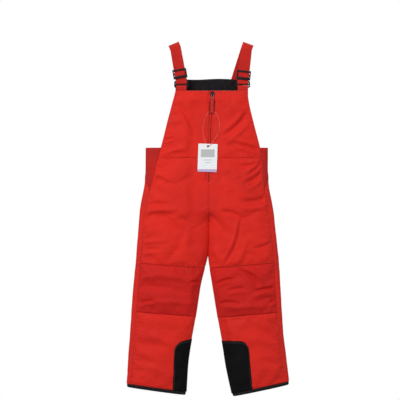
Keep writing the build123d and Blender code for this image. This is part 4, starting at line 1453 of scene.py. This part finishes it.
TAPE_EDGES = (0.8, 13.8)        # from the zip's middle
COIL_PITCH = 1.9
COIL_LENGTH = 2.7
COIL_RADIUS = 0.62
zip_strip("zip_backing", -15, 15, -3.2, 1.2, "shell_red", "zip_guard", extra=4)
for side in SIDES:
    sign = SIGN[side]
    near, far = (sign * edge for edge in TAPE_EDGES)
    zip_strip(f"tape_{side}", near, far, 0.6, 0.4, "tape_red", f"zip_tape_{side}")
    stagger = COIL_PITCH / 2 if side == "left" else 0
    along = np.arange(-ZIP_LENGTH + 4.6, -2.4, COIL_PITCH) + stagger
    middle = in_zip(sign * 1.7, along, -0.45)
    way = np.broadcast_to(ZIP_ACROSS, middle.shape)
    up = np.broadcast_to(ZIP_OUT, middle.shape)
    vertices, faces = rods(middle, way, up, COIL_LENGTH, COIL_RADIUS)
    coil = add_mesh(f"coil_{side}", vertices, faces, MATERIALS["coil_red"])
    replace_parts(on_body(coil, "torso"), f"zip_teeth_{side}")


# ---- braces ----
WEBBING = 2.2           # thickness
WEBBING_WIDTH = 30
TAIL_WIDTH = 28
EAR_WIDTH = 28
EAR_RADIUS = 3.3
LOOP_DROP = 0.85        # the webbing's loop hangs this far below the ring's upper wire
EAR_LIFT = 0.4          # and the ear's loop sits this far above its lower wire
FOLD_RADIUS = 13        # of the hanger, and the height of its axis
FOLD_Z = -13
LEVEL_ACROSS = np.array([1, 0, 0])
BRACES = {
    "right": {"fold_x": -86, "slope": 22, "ring_x": -70.5, "back_x": -66, "lean": 9.88,
              "adjuster": (-74.5, -81)},
    "left": {"fold_x": 106, "slope": -20, "ring_x": 96, "back_x": 71, "lean": -6.41,
             "adjuster": (98, -85)},
}
# three-bar slide: middle, size and bevel of two bars in front of the webbing, of the one
# behind it, and of the two sides
SLIDE_PARTS = (
    ((0, -3.4, 10), (37.6, 2.4, 5), 0.8), ((0, -3.4, -9.2), (37.6, 2.6, 7.6), 0.8),
    ((0, 1.2, 0), (37.6, 1.9, 5), 0.7),
    ((-17.4, -1.2, 0), (3.2, 6.6, 25), 1.0), ((17.4, -1.2, 0), (3.2, 6.6, 25), 1.0),
)


def strap(name, points, across, width, body, nodes, stitched=True):
    """Webbing along a path. If stitched, with a stitched line near each edge."""
    grid, outward = ribbon(points, across, width, WEBBING)
    cloth_sheet(name, grid, outward, WEBBING - 0.1, "webbing_red", body, nodes,
                held="folded" if stitched else "stretched")
    if stitched:
        lines = [line_near(grid, np.array(outward), border, 2.4) for border in ("start", "end")]
        stitch(f"stitch_{name}", lines, body)


def box_part(middle, size, bevel):
    """Box with bevelled edges, as vertices and faces."""
    form = bmesh.new()
    bmesh.ops.create_cube(form, size=1)
    bmesh.ops.scale(form, vec=size, verts=form.verts)
    bmesh.ops.bevel(form, geom=form.edges[:], offset=bevel, segments=3, profile=0.6,
                    affect="EDGES")
    form.verts.ensure_lookup_table()
    vertices = np.array([vertex.co[:] for vertex in form.verts]) + middle
    faces = [tuple(vertex.index for vertex in face.verts) for face in form.faces]
    form.free()
    return vertices, faces


def webbing_path(brace, radius, back_end, ring_y, loop_z, loop_radius):
    """Up the back, over the hanger, down the front and round the ring: points, and the
    direction across the webbing at each."""
    rise = math.radians(brace["slope"])
    fold_across = np.array([math.cos(rise), 0, math.sin(rise)])
    fold_up = np.array([-math.sin(rise), 0, math.cos(rise)])
    fold = np.array([brace["fold_x"], 0, FOLD_Z])
    points = []
    across = []

    def go(point, direction):
        points.append(point)
        across.append(direction)

    for share in np.linspace(0, 1, 50):
        go(np.array([brace["back_x"], radius, back_end]) * (1 - share)
           + (fold + (0, radius, 0)) * share, LEVEL_ACROSS * (1 - share) + fold_across * share)
    for angle in np.linspace(0, math.pi, 25)[1:-1]:
        go(fold + np.array([0, radius * math.cos(angle), 0]) + fold_up * radius * math.sin(angle),
           fold_across)
    for share in np.linspace(0, 1, 45):
        go((fold + (0, -radius, 0)) * (1 - share)
           + np.array([brace["ring_x"], -radius, loop_z]) * share,
           fold_across * (1 - share) + LEVEL_ACROSS * share)
    for angle in np.linspace(0, math.pi, 17)[1:]:
        go(np.array([brace["ring_x"], ring_y - loop_radius * math.cos(angle),
                     loop_z - loop_radius * math.sin(angle)]), LEVEL_ACROSS)
    return points, unit(np.array(across))


for side, brace in BRACES.items():
    radius = FOLD_RADIUS + WEBBING / 2
    ring_low, ring_high = node_box(f"ring_{side}")
    ring_y = (ring_low[1] + ring_high[1]) / 2
    wire = (ring_high[1] - ring_low[1]) / 2
    loop_z = ring_high[2] - wire - LOOP_DROP
    loop_radius = ring_y + radius
    back_end = node_box(f"brace_{side}")[0][2]
    points, across = webbing_path(brace, radius, back_end, ring_y, loop_z, loop_radius)
    strap(f"webbing_{side}", points, across, WEBBING_WIDTH, "torso", [f"brace_{side}"])

    tail_low, tail_high = node_box(f"brace_end_{side}")
    shares = np.linspace(0, 1, 21)[:, None]
    start = np.array([brace["ring_x"], ring_y + loop_radius, tail_low[2]])
    end = np.array([brace["ring_x"], tail_low[1] + WEBBING / 2, tail_high[2]])
    path = start * (1 - shares) + end * shares
    strap(f"webbing_end_{side}", path, np.broadcast_to(-LEVEL_ACROSS, path.shape), TAIL_WIDTH,
          f"tail {side}", [f"brace_end_{side}"], stitched=False)

    vertices, faces = joined([box_part(*part) for part in SLIDE_PARTS])
    lean = math.radians(brace["lean"])
    turned = np.stack([
        vertices[:, 0] * math.cos(lean) + vertices[:, 2] * math.sin(-lean),
        vertices[:, 1],
        vertices[:, 0] * math.sin(lean) + vertices[:, 2] * math.cos(lean),
    ], axis=-1)
    x, z = brace["adjuster"]
    slide = add_mesh(f"slide_{side}", turned + (x, -FOLD_RADIUS, z), faces,
                     MATERIALS["plastic_black"])
    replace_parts(on_body(slide, f"adjuster_{side}"), f"adjuster_{side}")

    # folded ear that holds the ring, sewn into the top of the bib
    ear_end = node_box(f"ear_{side}")[0][2]
    low_z = ring_low[2] + wire + EAR_LIFT
    arc = [(ring_y + EAR_RADIUS * math.cos(angle), low_z + EAR_RADIUS * math.sin(angle))
           for angle in np.linspace(0, math.pi, 15)]
    runs = [(ring_y + EAR_RADIUS, ear_end), *arc, (ring_y - EAR_RADIUS, ear_end)]
    path = along_path([(brace["ring_x"], y, z) for y, z in runs], 1.2)
    strap(f"ear_loop_{side}", path, np.broadcast_to(LEVEL_ACROSS, path.shape), EAR_WIDTH,
          "torso", [f"ear_{side}"])

# ---- carried-over nodes ----
for node, material in (
    ("swing_tag", "tag_card"), ("zip_slider", "slider_dark"), ("zip_bail", "zip_metal"),
    ("zip_tab", "pull_red"), ("zip_stops", "coil_red"), ("ring_right", "plastic_black"),
    ("ring_left", "plastic_black"),
):
    for holder in bpy.data.objects[node].material_slots:
        holder.material = MATERIALS[material]
